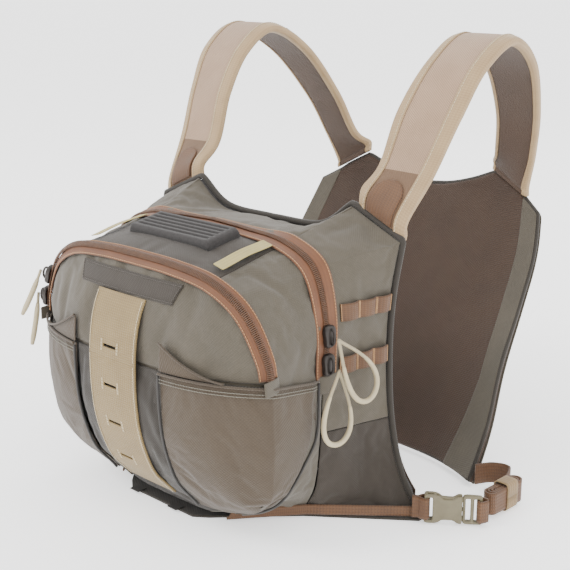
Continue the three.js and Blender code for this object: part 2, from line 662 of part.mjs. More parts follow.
// A pull hangs from the bail of its slider. Its plane is YZ before it leans out from the pack.
const BAIL = SLIDER[2] + 3.2 + SEAM_GAP + CORNER;
function hang(geometry, station, side, lean, sway) {
  const p = station.p.clone().addScaledVector(station.out, BAIL + 2.6);
  if (side < 0) p.setX(-p.x);
  const radians = THREE.MathUtils.degToRad;
  return geometry.rotateX(radians(sway)).rotateY(radians(-side * lean)).translate(p.x, p.y, p.z);
}
function cordLoop() {
  const [wide, long] = PULL_LOOP;
  const ring = new THREE.TorusGeometry(wide / 2 - CORD / 2, CORD / 2, 8, 20);
  ring.scale(1, long / wide, 1).rotateX(Math.PI / 2).rotateZ(Math.PI / 2);
  return ring.translate(0, 0, -long / 2);
}
function sleevedCord() {
  const cord = new THREE.CylinderGeometry(CORD / 2, CORD / 2, 12, 8).rotateX(Math.PI / 2).translate(0, 0, -6);
  const sleeve = new THREE.CylinderGeometry(SLEEVE / 2, SLEEVE / 2, SLEEVE_LONG, 10).rotateX(Math.PI / 2);
  return join(cord, sleeve.translate(0, 0, -10 - SLEEVE_LONG / 2));
}
place("main_pull_upper", hang(cordLoop(), mainAt(MAIN_SLIDERS.main_slider_upper), 1, 14, 28), CREAM);
place("main_pull_lower", hang(cordLoop(), mainAt(MAIN_SLIDERS.main_slider_lower), 1, 5, -8), CREAM);
place("front_pull_upper", hang(sleevedCord(), frontAt(FRONT_SLIDERS.front_slider_upper), -1, 27, -8), CREAM);
place("front_pull_lower", hang(sleevedCord(), frontAt(FRONT_SLIDERS.front_slider_lower), -1, 8, -6), CREAM);

// ---------------------------------------------------------------- yoke
const yokeHalf = profile([YOKE_FOOT_WIDE, 180, 169, 160, 154, 142]);
const yokeMiddle = profile([YOKE_FOOT_Y, 213, 245, 279, 307, YOKE_TOP[0]]);
const yokeWrap = profile([28, 20, 17, 10, 6, 6]);
const yokeHorn = profile([0, 0.15, 0.5, 1, 0.35, -0.55].map((h) => h * YOKE_HORN), [3, 4]);
const YOKE_LEAN_DROP = 4.6; // the leaning pad's back edge hangs this far below its front edge
function yokeFace(s, v) {
  const top = YOKE_TOP[1] + yokeHorn(Math.abs(s));
  const z = lerp(YOKE_FOOT_Z + YOKE_LEAN_DROP, top, v);
  const h = z / YOKE_TOP[1];
  return V(s * yokeHalf(h), yokeMiddle(h) - yokeWrap(h) * s ** 4, z);
}
const yokeSheet = (thickness, lift) =>
  sheet((u, v) => yokeFace(2 * u - 1, v), 20, 10, thickness, V(0, -1, 0), lift);
place("yoke_pad", yokeSheet(YOKE_PAD, 0), MESH);
place("yoke_shell", yokeSheet(YOKE_SHELL, -YOKE_PAD - SEAM_GAP), SAGE);

// ---------------------------------------------------------------- shoulder straps
const wingTop = (x) => {
  const w = (x - WING_INNER[0]) / (WING_OUTER[0] - WING_INNER[0]);
  return lerp(WING_INNER[1], WING_OUTER[1], w);
};
const yokeTop = (x) => yokeFace(x / yokeHalf(1), 1);
const STRAP_FOOT = [104, 154]; // inner and outer edge of a strap at the pack
const STRAP_END = [84, 127]; // inner and outer edge of a strap at the yoke
const FOLD_AT = 4;
function strapEdge(k, xs, ys) {
  const foot = STRAP_FOOT[k];
  const end = yokeTop(STRAP_END[k]);
  return outline([
    [foot, REAR_Y + 3, wingTop(foot) - STRAP_TUCK],
    [foot + 1, REAR_Y + 6, wingTop(foot) + 16],
    [xs[0], ys[0], 304],
    [xs[1], ys[1], 350],
    [xs[2], ...STRAP_FOLD],
    [xs[3], 212, STRAP_TOP_Z],
    [xs[4], 264, 388],
    [xs[5], 303, 338],
    [xs[6], 322, 294],
    [STRAP_END[k] + 1, end.y + YOKE_PAD - 1, end.z + 14],
    [STRAP_END[k], end.y + YOKE_PAD, end.z + YOKE_SEAT],
  ]);
}
const innerEdge = strapEdge(0, [106, 110, 115, 116, 114, 105, 94], [116, 135]);
const outerEdge = strapEdge(1, [163, 172, 178, 180, 170, 153, 139], [119, 142]);
const archOf = (p) => p.clone().sub(V(p.x, 215, 260));
function strap(from, to, rows) {
  const surface = (u, v) => innerEdge(lerp(from, to, v)).lerp(outerEdge(lerp(from, to, v)), u);
  return sheet(surface, 2, rows, STRAP_THICK, archOf);
}
const SWING = SWING_GAP / 2 / 50; // half the gap at the fold, in stations
const STRAP_END_STATION = 10;
const [FRONT_ROWS, REAR_ROWS] = [12, 16];
placePair("strap_front", strap(0, FOLD_AT - SWING, FRONT_ROWS), TAN);
placePair("strap_rear", strap(FOLD_AT + SWING, STRAP_END_STATION, REAR_ROWS), TAN);
// Webbing tab over the strap's foot, and the adjuster with its webbing behind the shoulder. Both
// start and end on rows of the strap, so that they lie flat on it.
function onStrap(from, to, width, rows, thickness) {
  const surface = (u, v) => {
    const t = lerp(from, to, v);
    return innerEdge(t).lerp(outerEdge(t), 0.5 + (u - 0.5) * width);
  };
  return sheet(surface, 2, rows, thickness, archOf, 2 * SEAM_GAP + thickness);
}
const frontRow = (row) => (row * (FOLD_AT - SWING)) / FRONT_ROWS;
const rearRow = (row) => lerp(FOLD_AT + SWING, STRAP_END_STATION, row / REAR_ROWS);
placePair("strap_tab", onStrap(frontRow(1), frontRow(5), 0.55, 4, WEBBING), COPPER);
placePair("strap_adjuster", onStrap(rearRow(4), rearRow(6), 0.6, 2, 3.5), BLACK);

// ---------------------------------------------------------------- belt
// The buckle is drawn along X with its width along Z and its thickness across Y.
const PRONG_ROOM = BUCKLE_WALL + BUCKLE_RUN;
const BAR = 3;
function buckleFemale() {
  const body = box(SOCKET_LONG, BUCKLE_THICK, BUCKLE_WIDE, [SOCKET_LONG / 2, 0, 0]);
  const slot = box(4.5, 20, BELT_WIDE + 1.5, [BAR + 2.25, 0, 0]);
  const deep = SOCKET_LONG - BAR - 4.5 - BUCKLE_WALL;
  const inside = [BUCKLE_THICK - 2 * BUCKLE_WALL, BUCKLE_WIDE - 2 * BUCKLE_WALL];
  const socket = box(deep + 1, ...inside, [SOCKET_LONG - deep / 2 + 0.5, 0, 0]);
  const window = box(12, 20, 6, [SOCKET_LONG - 13, 0, BUCKLE_WIDE / 2]);
  const otherWindow = window.clone().translate(0, 0, -BUCKLE_WIDE);
  return cut(body, slot, socket, window, otherWindow);
}
function buckleMale() {
  const start = SOCKET_LONG + BUCKLE_RUN;
  const thick = BUCKLE_THICK - 2 * PRONG_ROOM;
  const frame = box(LADDER_LONG, thick + 1.2, BUCKLE_WIDE, [start + LADDER_LONG / 2, 0, 0]);
  const opening = box(4.2, 20, BELT_WIDE + 1.5, [start + LADDER_LONG - BAR - 2.1, 0, 0]);
  const second = box(4.2, 20, BELT_WIDE + 1.5, [start + BAR + 1.6, 0, 0]);
  const arm = (z, wide) => box(PRONG_LONG + 1, thick, wide, [start - PRONG_LONG / 2 + 0.5, 0, z]);
  const reach = BUCKLE_WIDE / 2 - PRONG_ROOM;
  return join(cut(frame, opening, second), arm(reach - 2, 4), arm(0, 2.4), arm(-reach + 2, 4));
}
// A loop of webbing sewn round a bar at x, with a tail that runs on in the direction given.
function webbingLoop(x, direction, tail) {
  const outer = BUCKLE_THICK / 2 + 0.4 + WEBBING;
  const turn = BAR + 1 + WEBBING;
  const ring = box(turn + 2, 2 * outer, BELT_WIDE, [x + (direction * 2) / 2, 0, 0]);
  const hole = box(BAR + 0.8, 2 * outer - 2 * WEBBING, BELT_WIDE + 2, [x, 0, 0]);
  const run = box(tail, WEBBING, BELT_WIDE, [x + direction * (turn / 2 + tail / 2), 0, 0]);
  return join(cut(ring, hole), run);
}
const buckleTurn = THREE.MathUtils.degToRad(BUCKLE_TURN);
function onBelt(geometry) {
  const half = BUCKLE_WIDE / 2;
  const aside = V(0, BUCKLE_THICK / 2, 0).applyAxisAngle(V(0, 0, 1), buckleTurn);
  const [x, y] = BUCKLE_FROM;
  return geometry.rotateZ(buckleTurn).translate(x + aside.x, y + aside.y, half + BUCKLE_LIFT);
}
placePair("buckle_female", onBelt(buckleFemale()), BUCKLE);
placePair("buckle_male", onBelt(buckleMale()), BUCKLE);
placePair("belt_anchor", onBelt(webbingLoop(BAR / 2, -1, 9)), COPPER);
const LADDER_END = SOCKET_LONG + BUCKLE_RUN + LADDER_LONG - BAR / 2;
placePair("belt_loop", onBelt(webbingLoop(LADDER_END, 1, 4)), COPPER);
// The spare webbing is rolled up and held by an elastic keeper.
function beltBundle() {
  const [thick, long, high] = BUNDLE;
  const end = thick / 2;
  const shape = new THREE.Shape();
  shape.moveTo(-end, -long / 2 + end);
  shape.absarc(0, -long / 2 + end, end, Math.PI, 2 * Math.PI);
  shape.lineTo(end, long / 2 - end);
  shape.absarc(0, long / 2 - end, end, 0, Math.PI);
  const roll = new THREE.ExtrudeGeometry(shape, { depth: high, bevelEnabled: false, curveSegments: 6 });
  return roll.translate(...BUNDLE_AT, BUCKLE_LIFT + 1);
}
placePair("belt_bundle", beltBundle(), COPPER);
// The belt's other end is sewn to the lower corner of the yoke.
function beltLink() {
  const rollFace = BUNDLE_AT[0] - BUNDLE[0] / 2 - SEAM_GAP;
  const path = outline([
    [YOKE_FOOT_WIDE + 3.6, 170, 0],
    [196, 185, 0],
    [212, 188, 0],
    [rollFace, 163, 0],
  ]);
  const surface = (u, v) => path(3 * v).setZ(BUCKLE_LIFT + 2 + BELT_WIDE * u);
  return sheet(surface, 1, 10, WEBBING, (p) => p.clone().sub(V(205, 170, p.z)));
}
placePair("belt_link", beltLink(), COPPER);

export default vest;
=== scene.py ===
# Chest-worn fishing pack: two zipped compartments, a folding front flap with stretch pockets below
# it, padded shoulder straps, a mesh yoke for the upper back and a webbing belt with a side-release
# buckle on each side. The frame is in metres; pieces are drawn in millimetres and scaled once.
import math
import bpy
import numpy as np
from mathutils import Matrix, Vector, noise


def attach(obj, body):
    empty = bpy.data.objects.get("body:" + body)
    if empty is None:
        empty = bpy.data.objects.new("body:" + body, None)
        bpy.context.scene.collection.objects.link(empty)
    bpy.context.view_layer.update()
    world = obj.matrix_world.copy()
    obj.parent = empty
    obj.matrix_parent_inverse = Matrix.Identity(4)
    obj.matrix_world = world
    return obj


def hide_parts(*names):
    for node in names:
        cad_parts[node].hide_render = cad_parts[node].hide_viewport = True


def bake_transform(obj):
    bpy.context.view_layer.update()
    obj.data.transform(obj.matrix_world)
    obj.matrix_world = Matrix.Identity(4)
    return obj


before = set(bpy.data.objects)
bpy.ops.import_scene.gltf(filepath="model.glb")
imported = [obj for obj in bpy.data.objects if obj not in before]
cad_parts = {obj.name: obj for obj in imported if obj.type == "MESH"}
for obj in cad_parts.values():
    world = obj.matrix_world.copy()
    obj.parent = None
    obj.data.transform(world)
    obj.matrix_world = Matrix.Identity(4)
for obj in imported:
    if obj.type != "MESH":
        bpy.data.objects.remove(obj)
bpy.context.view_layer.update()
MM = 0.001

# ------------------------------------------------------------------ camera, floor and light
# The camera stands off the pack's front right corner and looks slightly down. A large key light
# from the left, a weaker one from the right and a pale sky give soft studio light.
LOOK_AZIMUTH = math.radians(44.086)
LOOK_DOWN = math.radians(15.516)
camera_data = bpy.data.cameras.new("camera")
camera_data.lens = 73.4
camera = bpy.data.objects.new("camera", camera_data)
camera.location = (0.7547, -0.6721, 0.4748)
look = Vector((
    -math.sin(LOOK_AZIMUTH) * math.cos(LOOK_DOWN),
    math.cos(LOOK_AZIMUTH) * math.cos(LOOK_DOWN),
    -math.sin(LOOK_DOWN),
))
camera.rotation_euler = look.to_track_quat("-Z", "Y").to_euler()
bpy.context.scene.collection.objects.link(camera)
bpy.context.scene.camera = camera


def soft_light(name, place, size, power, aim=(0, 0.05, 0.2)):
    lamp = bpy.data.lights.new(name, "AREA")
    lamp.size = size
    lamp.energy = power
    holder = bpy.data.objects.new(name, lamp)
    holder.location = place
    holder.rotation_euler = (Vector(aim) - Vector(place)).to_track_quat("-Z", "Y").to_euler()
    bpy.context.scene.collection.objects.link(holder)


soft_light("key_light", (-0.9, -1.5, 1.9), 0.9, 30)
soft_light("fill_light", (1.9, 0.2, 1.2), 1.2, 9)
soft_light("back_light", (-0.5, 1.9, 1.6), 1.2, 9)
sky = bpy.data.worlds.new("sky")
sky.use_nodes = True
sky.node_tree.nodes["Background"].inputs["Color"].default_value = (1, 1, 1, 1)
sky.node_tree.nodes["Background"].inputs["Strength"].default_value = 2.1
bpy.context.scene.world = sky


def new_material(name, roughness=0.8, sheen=0.0, metal=0.0, coat=0.0):
    material = bpy.data.materials.new(name)
    material.use_nodes = True
    surface = material.node_tree.nodes["Principled BSDF"]
    surface.inputs["Roughness"].default_value = roughness
    surface.inputs["Sheen Weight"].default_value = sheen
    surface.inputs["Metallic"].default_value = metal
    surface.inputs["Coat Weight"].default_value = coat
    return material, material.node_tree, surface


FLOOR = 60.0
floor_mesh = bpy.data.meshes.new("floor")
floor_mesh.from_pydata(
    [(-FLOOR, -FLOOR, 0), (FLOOR, -FLOOR, 0), (FLOOR, FLOOR, 0), (-FLOOR, FLOOR, 0)], [], [(0, 1, 2, 3)]
)
floor = bpy.data.objects.new("floor", floor_mesh)
bpy.context.scene.collection.objects.link(floor)
floor_material, _, floor_surface = new_material("floor_paper", 0.9)
floor_surface.inputs["Base Color"].default_value = (0.9, 0.9, 0.9, 1)
floor_surface.inputs["Emission Color"].default_value = (1, 1, 1, 1)
floor_surface.inputs["Emission Strength"].default_value = 0.9
floor_mesh.materials.append(floor_material)

# ------------------------------------------------------------------ base panel
# Stiff plate of coated cloth under the pack. The side panels are sewn to its edge, so the three
# seam lines that they are cut to start here: front zip, main zip and back, as stations from the
# foot (0) over the shoulder (6) to the middle of the top (8), drawn for the right-hand half.
TOP = 8
INSIDE = np.array((0.0, 20.0, 120.0))
FLAP_FOLD_Z = 152.0
FOOT_Z = 3.9


def outline(points, corners=()):
    """A smooth line through its points, read at one station or at an array of stations."""
    P = np.array(points, float)
    last = len(P) - 1
    arriving, leaving = np.zeros_like(P), np.zeros_like(P)
    for i in range(last + 1):
        back = P[i] - P[i - 1] if i else P[1] - P[0]
        onward = P[i + 1] - P[i] if i < last else back
        arriving[i] = back if i in corners else (back + onward) / 2
        leaving[i] = onward if i in corners else (back + onward) / 2

    def at(t):
        t = np.clip(np.asarray(t, float), 0, last)
        i = np.minimum(t.astype(int), last - 1)
        s = (t - i)[..., None]
        return (
            P[i] * (2 * s**3 - 3 * s**2 + 1) + leaving[i] * (s**3 - 2 * s**2 + s)
            + P[i + 1] * (3 * s**2 - 2 * s**3) + arriving[i + 1] * (s**3 - s**2)
        )

    return at


def profile(values, corners=()):
    """The same for plain numbers, over evenly spaced stations from 0 to 1."""
    line = outline([[v] for v in values], corners)
    return lambda s: line(np.clip(s, 0, 1) * (len(values) - 1))[..., 0]


front_edge = outline([
    (54, -46, FOOT_Z), (132, -54, 38), (149, -60, 85), (149, -62, FLAP_FOLD_Z), (143, -64, 179),
    (123, -68, 211), (90, -72, 230), (45, -73.5, 236), (0, -74, 237),
])
main_edge = outline([
    (112, 15, FOOT_Z), (128, 15, 35), (134, 15, 85), (136, 15, 144), (136, 15, 187),
    (122, 15, 230), (88, 15, 247), (44, 15, 251), (0, 15, 253),
])
rear_edge = outline([
    (192, 79, FOOT_Z), (164, 85, 36), (149, 88, 84), (145, 88, 144), (148, 88, 196),
    (157, 88, 246), (100, 88, 271), (62, 88, 247), (0, 88, 244),
], corners=(5, 6))


def link_piece(name, mesh):
    piece = bpy.data.objects.new(name, mesh)
    bpy.context.scene.collection.objects.link(piece)
    return piece


def mesh_of(name, points, faces, uv=None, smooth=True):
    """A mesh from points in millimetres. uv gives each point's place on the cloth, in metres."""
    mesh = bpy.data.meshes.new(name)
    mesh.from_pydata((np.asarray(points, float).reshape(-1, 3) * MM).tolist(), [], faces)
    if smooth:
        mesh.polygons.foreach_set("use_smooth", [True] * len(mesh.polygons))
    if uv is not None:
        corner = np.zeros(len(mesh.loops), int)
        mesh.loops.foreach_get("vertex_index", corner)
        layer = mesh.uv_layers.new(name="cloth")
        layer.data.foreach_set("uv", np.asarray(uv, float).reshape(-1, 2)[corner].ravel())
    mesh.update()
    return mesh


def maths(tree, operation, *values):
    """A Math node on sockets or numbers; returns its output."""
    node = tree.nodes.new("ShaderNodeMath")
    node.operation = operation
    for socket, value in zip(node.inputs, values):
        if isinstance(value, (int, float)):
            socket.default_value = value
        else:
            tree.links.new(value, socket)
    return node.outputs[0]


def linear(rgb):
    """A colour given in 0-255 steps of a screen, as the shader takes it."""
    s = [c / 255 for c in rgb]
    return [c / 12.92 if c <= 0.04045 else ((c + 0.055) / 1.055) ** 2.4 for c in s] + [1]


def tint(tree, surface, factor, dark, light):
    """Base colour between two colours by a factor from 0 to 1."""
    mix = tree.nodes.new("ShaderNodeMix")
    mix.data_type = "RGBA"
    tree.links.new(factor, mix.inputs["Factor"])
    mix.inputs["A"].default_value = linear(dark)
    mix.inputs["B"].default_value = linear(light)
    tree.links.new(mix.outputs["Result"], surface.inputs["Base Color"])


def relief(tree, surface, height, depth):
    """Bump from a height of 0 to 1, at its depth in millimetres."""
    bump = tree.nodes.new("ShaderNodeBump")
    bump.inputs["Distance"].default_value = depth * MM
    tree.links.new(height, bump.inputs["Height"])
    tree.links.new(bump.outputs["Normal"], surface.inputs["Normal"])


def cloth_place(tree):
    """Where a point lies on the cloth, across and along, in millimetres."""
    source = tree.nodes.new("ShaderNodeUVMap")
    split = tree.nodes.new("ShaderNodeSeparateXYZ")
    tree.links.new(source.outputs["UV"], split.inputs[0])
    across = maths(tree, "MULTIPLY", split.outputs[0], 1000.0)
    along = maths(tree, "MULTIPLY", split.outputs[1], 1000.0)
    return across, along


def blotches(tree, size, detail=3.0):
    """Soft noise of a size in millimetres, from the place on the object."""
    place = tree.nodes.new("ShaderNodeTexCoord")
    cloud = tree.nodes.new("ShaderNodeTexNoise")
    cloud.inputs["Scale"].default_value = 1000.0 / size
    cloud.inputs["Detail"].default_value = detail
    tree.links.new(place.outputs["Object"], cloud.inputs["Vector"])
    return cloud.outputs["Fac"]


def weave_cloth(name, dark, light, thread=1.1, depth=0.25, roughness=0.75, sheen=0.15, wear=0.5):
    """Plain-weave cloth: threads of a width in millimetres, uneven dye and a little fade."""
    material, tree, surface = new_material(name, roughness, sheen)
    u, v = cloth_place(tree)
    step = math.pi / thread
    over = maths(tree, "MULTIPLY", maths(tree, "SINE", maths(tree, "MULTIPLY", u, step)),
                 maths(tree, "SINE", maths(tree, "MULTIPLY", v, step)))
    height = maths(tree, "MULTIPLY_ADD", over, 0.5, 0.5)
    dye = maths(tree, "MULTIPLY", blotches(tree, 38), wear)
    fleck = maths(tree, "MULTIPLY", blotches(tree, 3.2, 2.0), 0.35)
    factor = maths(tree, "ADD", maths(tree, "MULTIPLY", height, 0.3), maths(tree, "ADD", dye, fleck))
    tint(tree, surface, maths(tree, "SUBTRACT", factor, 0.12), dark, light)
    relief(tree, surface, height, depth)
    return material


SAGE = weave_cloth("sage_nylon", (59, 53, 42), (88, 80, 66))
TAUPE = weave_cloth("taupe_stretch", (54, 42, 28), (74, 61, 44), thread=1.4, depth=0.3)
BROWN = weave_cloth("dark_brown_nylon", (33, 25, 17), (50, 41, 29))
DEEP = weave_cloth("deep_brown_nylon", (27, 21, 14), (44, 37, 27))


def normals_of(P):
    across = np.gradient(P, axis=1)
    along = np.gradient(P, axis=0)
    N = np.cross(across, along)
    return N / np.maximum(np.linalg.norm(N, axis=-1, keepdims=True), 1e-9)


def cloth_uv(P):
    """Metres across and along a grid of points, measured down its middle."""
    across = np.linalg.norm(np.diff(P, axis=1), axis=-1).mean(0)
    along = np.linalg.norm(np.diff(P, axis=0), axis=-1).mean(1)
    u = np.concatenate([[0], np.cumsum(across)]) * MM
    v = np.concatenate([[0], np.cumsum(along)]) * MM
    return np.stack(np.meshgrid(u, v), axis=-1)


def grid_faces(rows, columns, flip=False, ring=False):
    """Quads of a grid of rows + 1 by columns + 1 points; a ring closes on its first column."""
    width = columns if ring else columns + 1
    faces = []
    for j in range(rows):
        for i in range(columns):
            k = (i + 1) % width
            quad = [j * width + i, j * width + k, (j + 1) * width + k, (j + 1) * width + i]
            faces.append(quad[::-1] if flip else quad)
    return faces


def on_grid(surface, columns, rows, outside=None, lift=0.0):
    """Points and outward normals of surface(u, v) on a grid, moved out by lift millimetres."""
    u, v = np.meshgrid(np.linspace(0, 1, columns + 1), np.linspace(0, 1, rows + 1))
    P = surface(u, v)
    N = normals_of(P)
    outwards = P - INSIDE if outside is None else np.broadcast_to(np.array(outside, float), P.shape)
    flip = (N * outwards).sum() < 0
    if flip:
        N = -N
    return P + N * lift, N, flip


def ruffle(P, N, height, size, seed=0.0):
    """Small uneven waves, which die out towards the sewn edges."""
    rows, columns = P.shape[:2]
    out = P.copy()
    for j in range(rows):
        for i in range(columns):
            edge = min(i, columns - 1 - i, j, rows - 1 - j) / (0.12 * min(rows, columns))
            p = Vector(P[j, i] / size) + Vector((seed, -seed, 2 * seed))
            out[j, i] += N[j, i] * height * noise.fractal(p, 0.9, 2.0, 3) * min(1.0, edge)
    return out


def crease(P, N, start, end, depth, width):
    """A fold (depth below 0) or ridge along the line between two points, tapering to its ends."""
    a, b = np.array(start, float), np.array(end, float)
    t = np.clip(((P - a) @ (b - a)) / ((b - a) @ (b - a)), 0, 1)
    away = np.linalg.norm(P - (a + t[..., None] * (b - a)), axis=-1)
    shape = depth * np.exp(-((away / width) ** 2)) * np.sin(np.pi * np.clip(t, 0.04, 0.96))
    return P + N * shape[..., None]


def settle(piece, slack=0.0, pressure=0.0, cap=4.0, frames=20, bending=0.4, loose=None):
    """Cloth left to settle between its sewn edges: slack is spare length, cap a limit in mm."""
    mesh = piece.data
    rest = np.zeros(len(mesh.vertices) * 3)
    mesh.vertices.foreach_get("co", rest)
    group = piece.vertex_groups.new(name="sewn")
    if loose is None:
        uses = {}
        for face in mesh.polygons:
            for edge in face.edge_keys:
                uses[edge] = uses.get(edge, 0) + 1
        sewn = sorted({v for edge, n in uses.items() if n == 1 for v in edge})
    else:
        sewn = [i for i, free in enumerate(loose) if not free]
    group.add(sewn, 1.0, "REPLACE")
    cloth = piece.modifiers.new("settle", "CLOTH")
    settings = cloth.settings
    settings.quality = 5
    settings.mass = 0.15
    settings.tension_stiffness = settings.compression_stiffness = 20
    settings.shear_stiffness = 8
    settings.bending_stiffness = bending
    settings.shrink_min = settings.shrink_max = -slack
    settings.vertex_group_mass = "sewn"
    settings.pin_stiffness = 5
    if pressure:
        settings.use_pressure = True
        settings.uniform_pressure_force = pressure
    settings.effector_weights.gravity = 0
    cloth.point_cache.frame_start = 1
    cloth.point_cache.frame_end = frames
    for step in range(1, frames + 1):
        bpy.context.scene.frame_set(step)
    settled = piece.evaluated_get(bpy.context.evaluated_depsgraph_get()).to_mesh()
    moved = np.zeros_like(rest)
    settled.vertices.foreach_get("co", moved)
    piece.evaluated_get(bpy.context.evaluated_depsgraph_get()).to_mesh_clear()
    piece.modifiers.remove(cloth)
    piece.vertex_groups.remove(group)
    shift = (moved - rest).reshape(-1, 3)
    length = np.linalg.norm(shift, axis=1, keepdims=True)
    shift *= np.minimum(1.0, cap * MM / np.maximum(length, 1e-9))
    mesh.vertices.foreach_set("co", rest + shift.ravel())
    mesh.update()
    bpy.context.scene.frame_set(1)


def finish_piece(piece, material, body, nodes=(), thickness=0.0, levels=1):
    """Thickness on the inner side, one subdivision, and what the frame has to know."""
    for one in material if isinstance(material, list) else [material]:
        piece.data.materials.append(one)
    if thickness:
        wall = piece.modifiers.new("wall", "SOLIDIFY")
        wall.thickness = thickness * MM
        wall.offset = -1
        wall.use_even_offset = False
    if levels:
        smooth = piece.modifiers.new("smooth", "SUBSURF")
        smooth.levels = smooth.render_levels = levels
    if body:
        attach(piece, body)
    if nodes:
        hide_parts(*nodes)
    return piece


def mirrored_stations(line, u, start):
    """A seam line over the whole arch: u from 0 at the right end to 1 at the left end."""
    t = start + (2 * TOP - 2 * start) * u
    P = line(np.where(t <= TOP, t, 2 * TOP - t))
    P[..., 0] = np.where(t <= TOP, P[..., 0], -P[..., 0])
    return P


def rounded_plate(name, loops, thickness, bevel, resolution=2):
    """A flat plate in XY with rounded edges, from an outer loop and its holes, in millimetres."""
    curve = bpy.data.curves.new(name, "CURVE")
    curve.dimensions = "2D"
    curve.fill_mode = "BOTH"
    curve.extrude = thickness / 2 - bevel
    curve.bevel_depth = bevel
    curve.bevel_resolution = resolution
    curve.offset = -bevel
    for loop in loops:
        spline = curve.splines.new("POLY")
        spline.points.add(len(loop) - 1)
        for point, (x, y) in zip(spline.points, loop):
            point.co = (x, y, 0, 1)
        spline.use_cyclic_u = True
    holder = bpy.data.objects.new(name, curve)
    bpy.context.scene.collection.objects.link(holder)
    mesh = bpy.data.meshes.new_from_object(holder.evaluated_get(bpy.context.evaluated_depsgraph_get()))
    bpy.data.objects.remove(holder)
    points = np.zeros(len(mesh.vertices) * 3)
    mesh.vertices.foreach_get("co", points)
    faces = [list(face.vertices) for face in mesh.polygons]
    return points.reshape(-1, 3), faces


half_base = [(0, -55)] + [(42, -55)] + [tuple(line(0)[:2]) for line in (front_edge, main_edge, rear_edge)]
half_base += [(192, 88), (178, 95.8), (0, 95.8)]
base_loop = half_base + [(-x, y) for x, y in half_base[::-1] if x]
base_points, base_faces = rounded_plate("base", [base_loop], 2.5, 0.9)
base_points[:, 2] += 1.25
base_uv = base_points[:, :2] * MM
base = link_piece("base", mesh_of("base", base_points, base_faces, base_uv, smooth=False))
finish_piece(base, DEEP, "pack", ["base_panel"], levels=0)

# ------------------------------------------------------------------ side, top and back panels
# Coated nylon sewn between the seam lines, a little longer than the line it is sewn to, so that it
# puckers at the seams. The hems of the lower wings are a darker, heavier cloth.
UNDER_TAPE = -2.2
SHOULDER = 6
HEM = 2


def between(a, b, start, end, trim=(0.0, 1.0)):
    def surface(u, v):
        t = start + (end - start) * v
        w = (trim[0] + (trim[1] - trim[0]) * u)[..., None]
        return a(t) * (1 - w) + b(t) * w
    return surface


def over_top(a, b, start):
    def surface(u, v):
        w = u[..., None]
        return mirrored_stations(a, v, start) * (1 - w) + mirrored_stations(b, v, start) * w
    return surface


def sewn_panel(name, surface, columns, rows, material, body, slot, nodes, lift=UNDER_TAPE, side=1,
               slack=0.022, swell=1.6, height=1.2, size=34.0, folds=(), cap=3.5, outside=None,
               thickness=1.2, levels=1, seed=0.0):
    """A panel cut to a surface of the right-hand half; side -1 makes its left-hand twin."""
    P, N, flip = on_grid(surface, columns, rows, outside, lift)
    P = ruffle(P, N, height, size, seed + side)
    for start, end, depth, width in folds:
        P = crease(P, N, start, end, depth, width)
    uv = cloth_uv(P)
    if side < 0:
        P = P * (-1, 1, 1)
        flip = not flip
    piece = link_piece(name, mesh_of(name, P, grid_faces(rows, columns, flip), uv))
    settle(piece, slack, swell, cap)
    return finish_piece(piece, material, body, nodes, thickness, levels)


for side, hand in ((1, "right"), (-1, "left")):
    sewn_panel(
        f"front_side_cloth_{hand}", between(front_edge, main_edge, 0, SHOULDER), 26, 96, SAGE, "pack",
        "sage_cloth", [f"front_side_{hand}"], side=side, swell=0.6, cap=2.0, height=0.9, folds=[
            ((112, -30, 25), (150, -20, 92), -2.6, 5), ((140, -45, 120), (143, -10, 185), -1.6, 7),
            ((95, -40, 236), (128, -20, 215), -1.4, 6), ((138, -50, 70), (140, -5, 60), -1.2, 5),
        ])
    sewn_panel(
        f"lower_wing_cloth_{hand}", between(main_edge, rear_edge, 0, HEM), 30, 40, BROWN, "pack",
        "dark_cloth", [f"lower_wing_{hand}"], side=side, folds=[
            ((118, 22, 20), (172, 70, 12), -2.2, 6), ((130, 30, 70), (160, 75, 40), -1.8, 7),
            ((150, 60, 70), (180, 74, 8), 1.5, 6),
        ])
    sewn_panel(
        f"rear_side_cloth_{hand}", between(main_edge, rear_edge, HEM, SHOULDER), 30, 76, SAGE, "pack",
        "sage_cloth", [f"rear_side_{hand}"], side=side, seed=5.0, swell=0.3, slack=0.012, folds=[
            ((120, 30, 236), (146, 78, 226), -2.0, 6), ((100, 40, 250), (118, 80, 262), -1.8, 6),
            ((138, 30, 112), (148, 80, 96), -1.4, 5),
        ])
sewn_panel("deck_cloth", over_top(front_edge, main_edge, SHOULDER), 26, 60, BROWN, "pack", "dark_cloth",
           ["deck_panel"], height=0.6, size=50.0, slack=0.006)
sewn_panel("rear_top_cloth", over_top(main_edge, rear_edge, SHOULDER), 24, 60, SAGE, "pack", "sage_cloth",
           ["rear_top_panel"], seed=9.0, folds=[((-60, 30, 249), (-30, 80, 244), -1.6, 6),
                                               ((70, 30, 250), (60, 80, 247), -1.6, 7)])

# ------------------------------------------------------------------ front panel and flap
# One wide panel across the pack's front, bulging forward, folded above the stretch pockets: the
# flap above the fold swings down once its zip is open. A dark recess lies behind the webbing ladder.
FRONT_TOP = 237.0
FRONT_LIFT = UNDER_TAPE - 1.1
belly = profile([-26, -11, 8, 18, 24, 26.5, 27, 26, 22, 13, 1])
station_grid = np.linspace(0, TOP, 1600)
station_height = front_edge(station_grid)[:, 2]


def on_front(x, z):
    """The point of the front panel at x and z."""
    t = np.interp(z, station_height, station_grid)
    edge = front_edge(t)
    r = np.clip(np.abs(x) / np.maximum(edge[..., 0], 1e-3), 0, 1.05)
    middle = -74.0 - belly(np.asarray(z) / FRONT_TOP)
    return np.stack([x, middle + (edge[..., 1] - middle) * r**3.2, z + 0 * x], axis=-1)


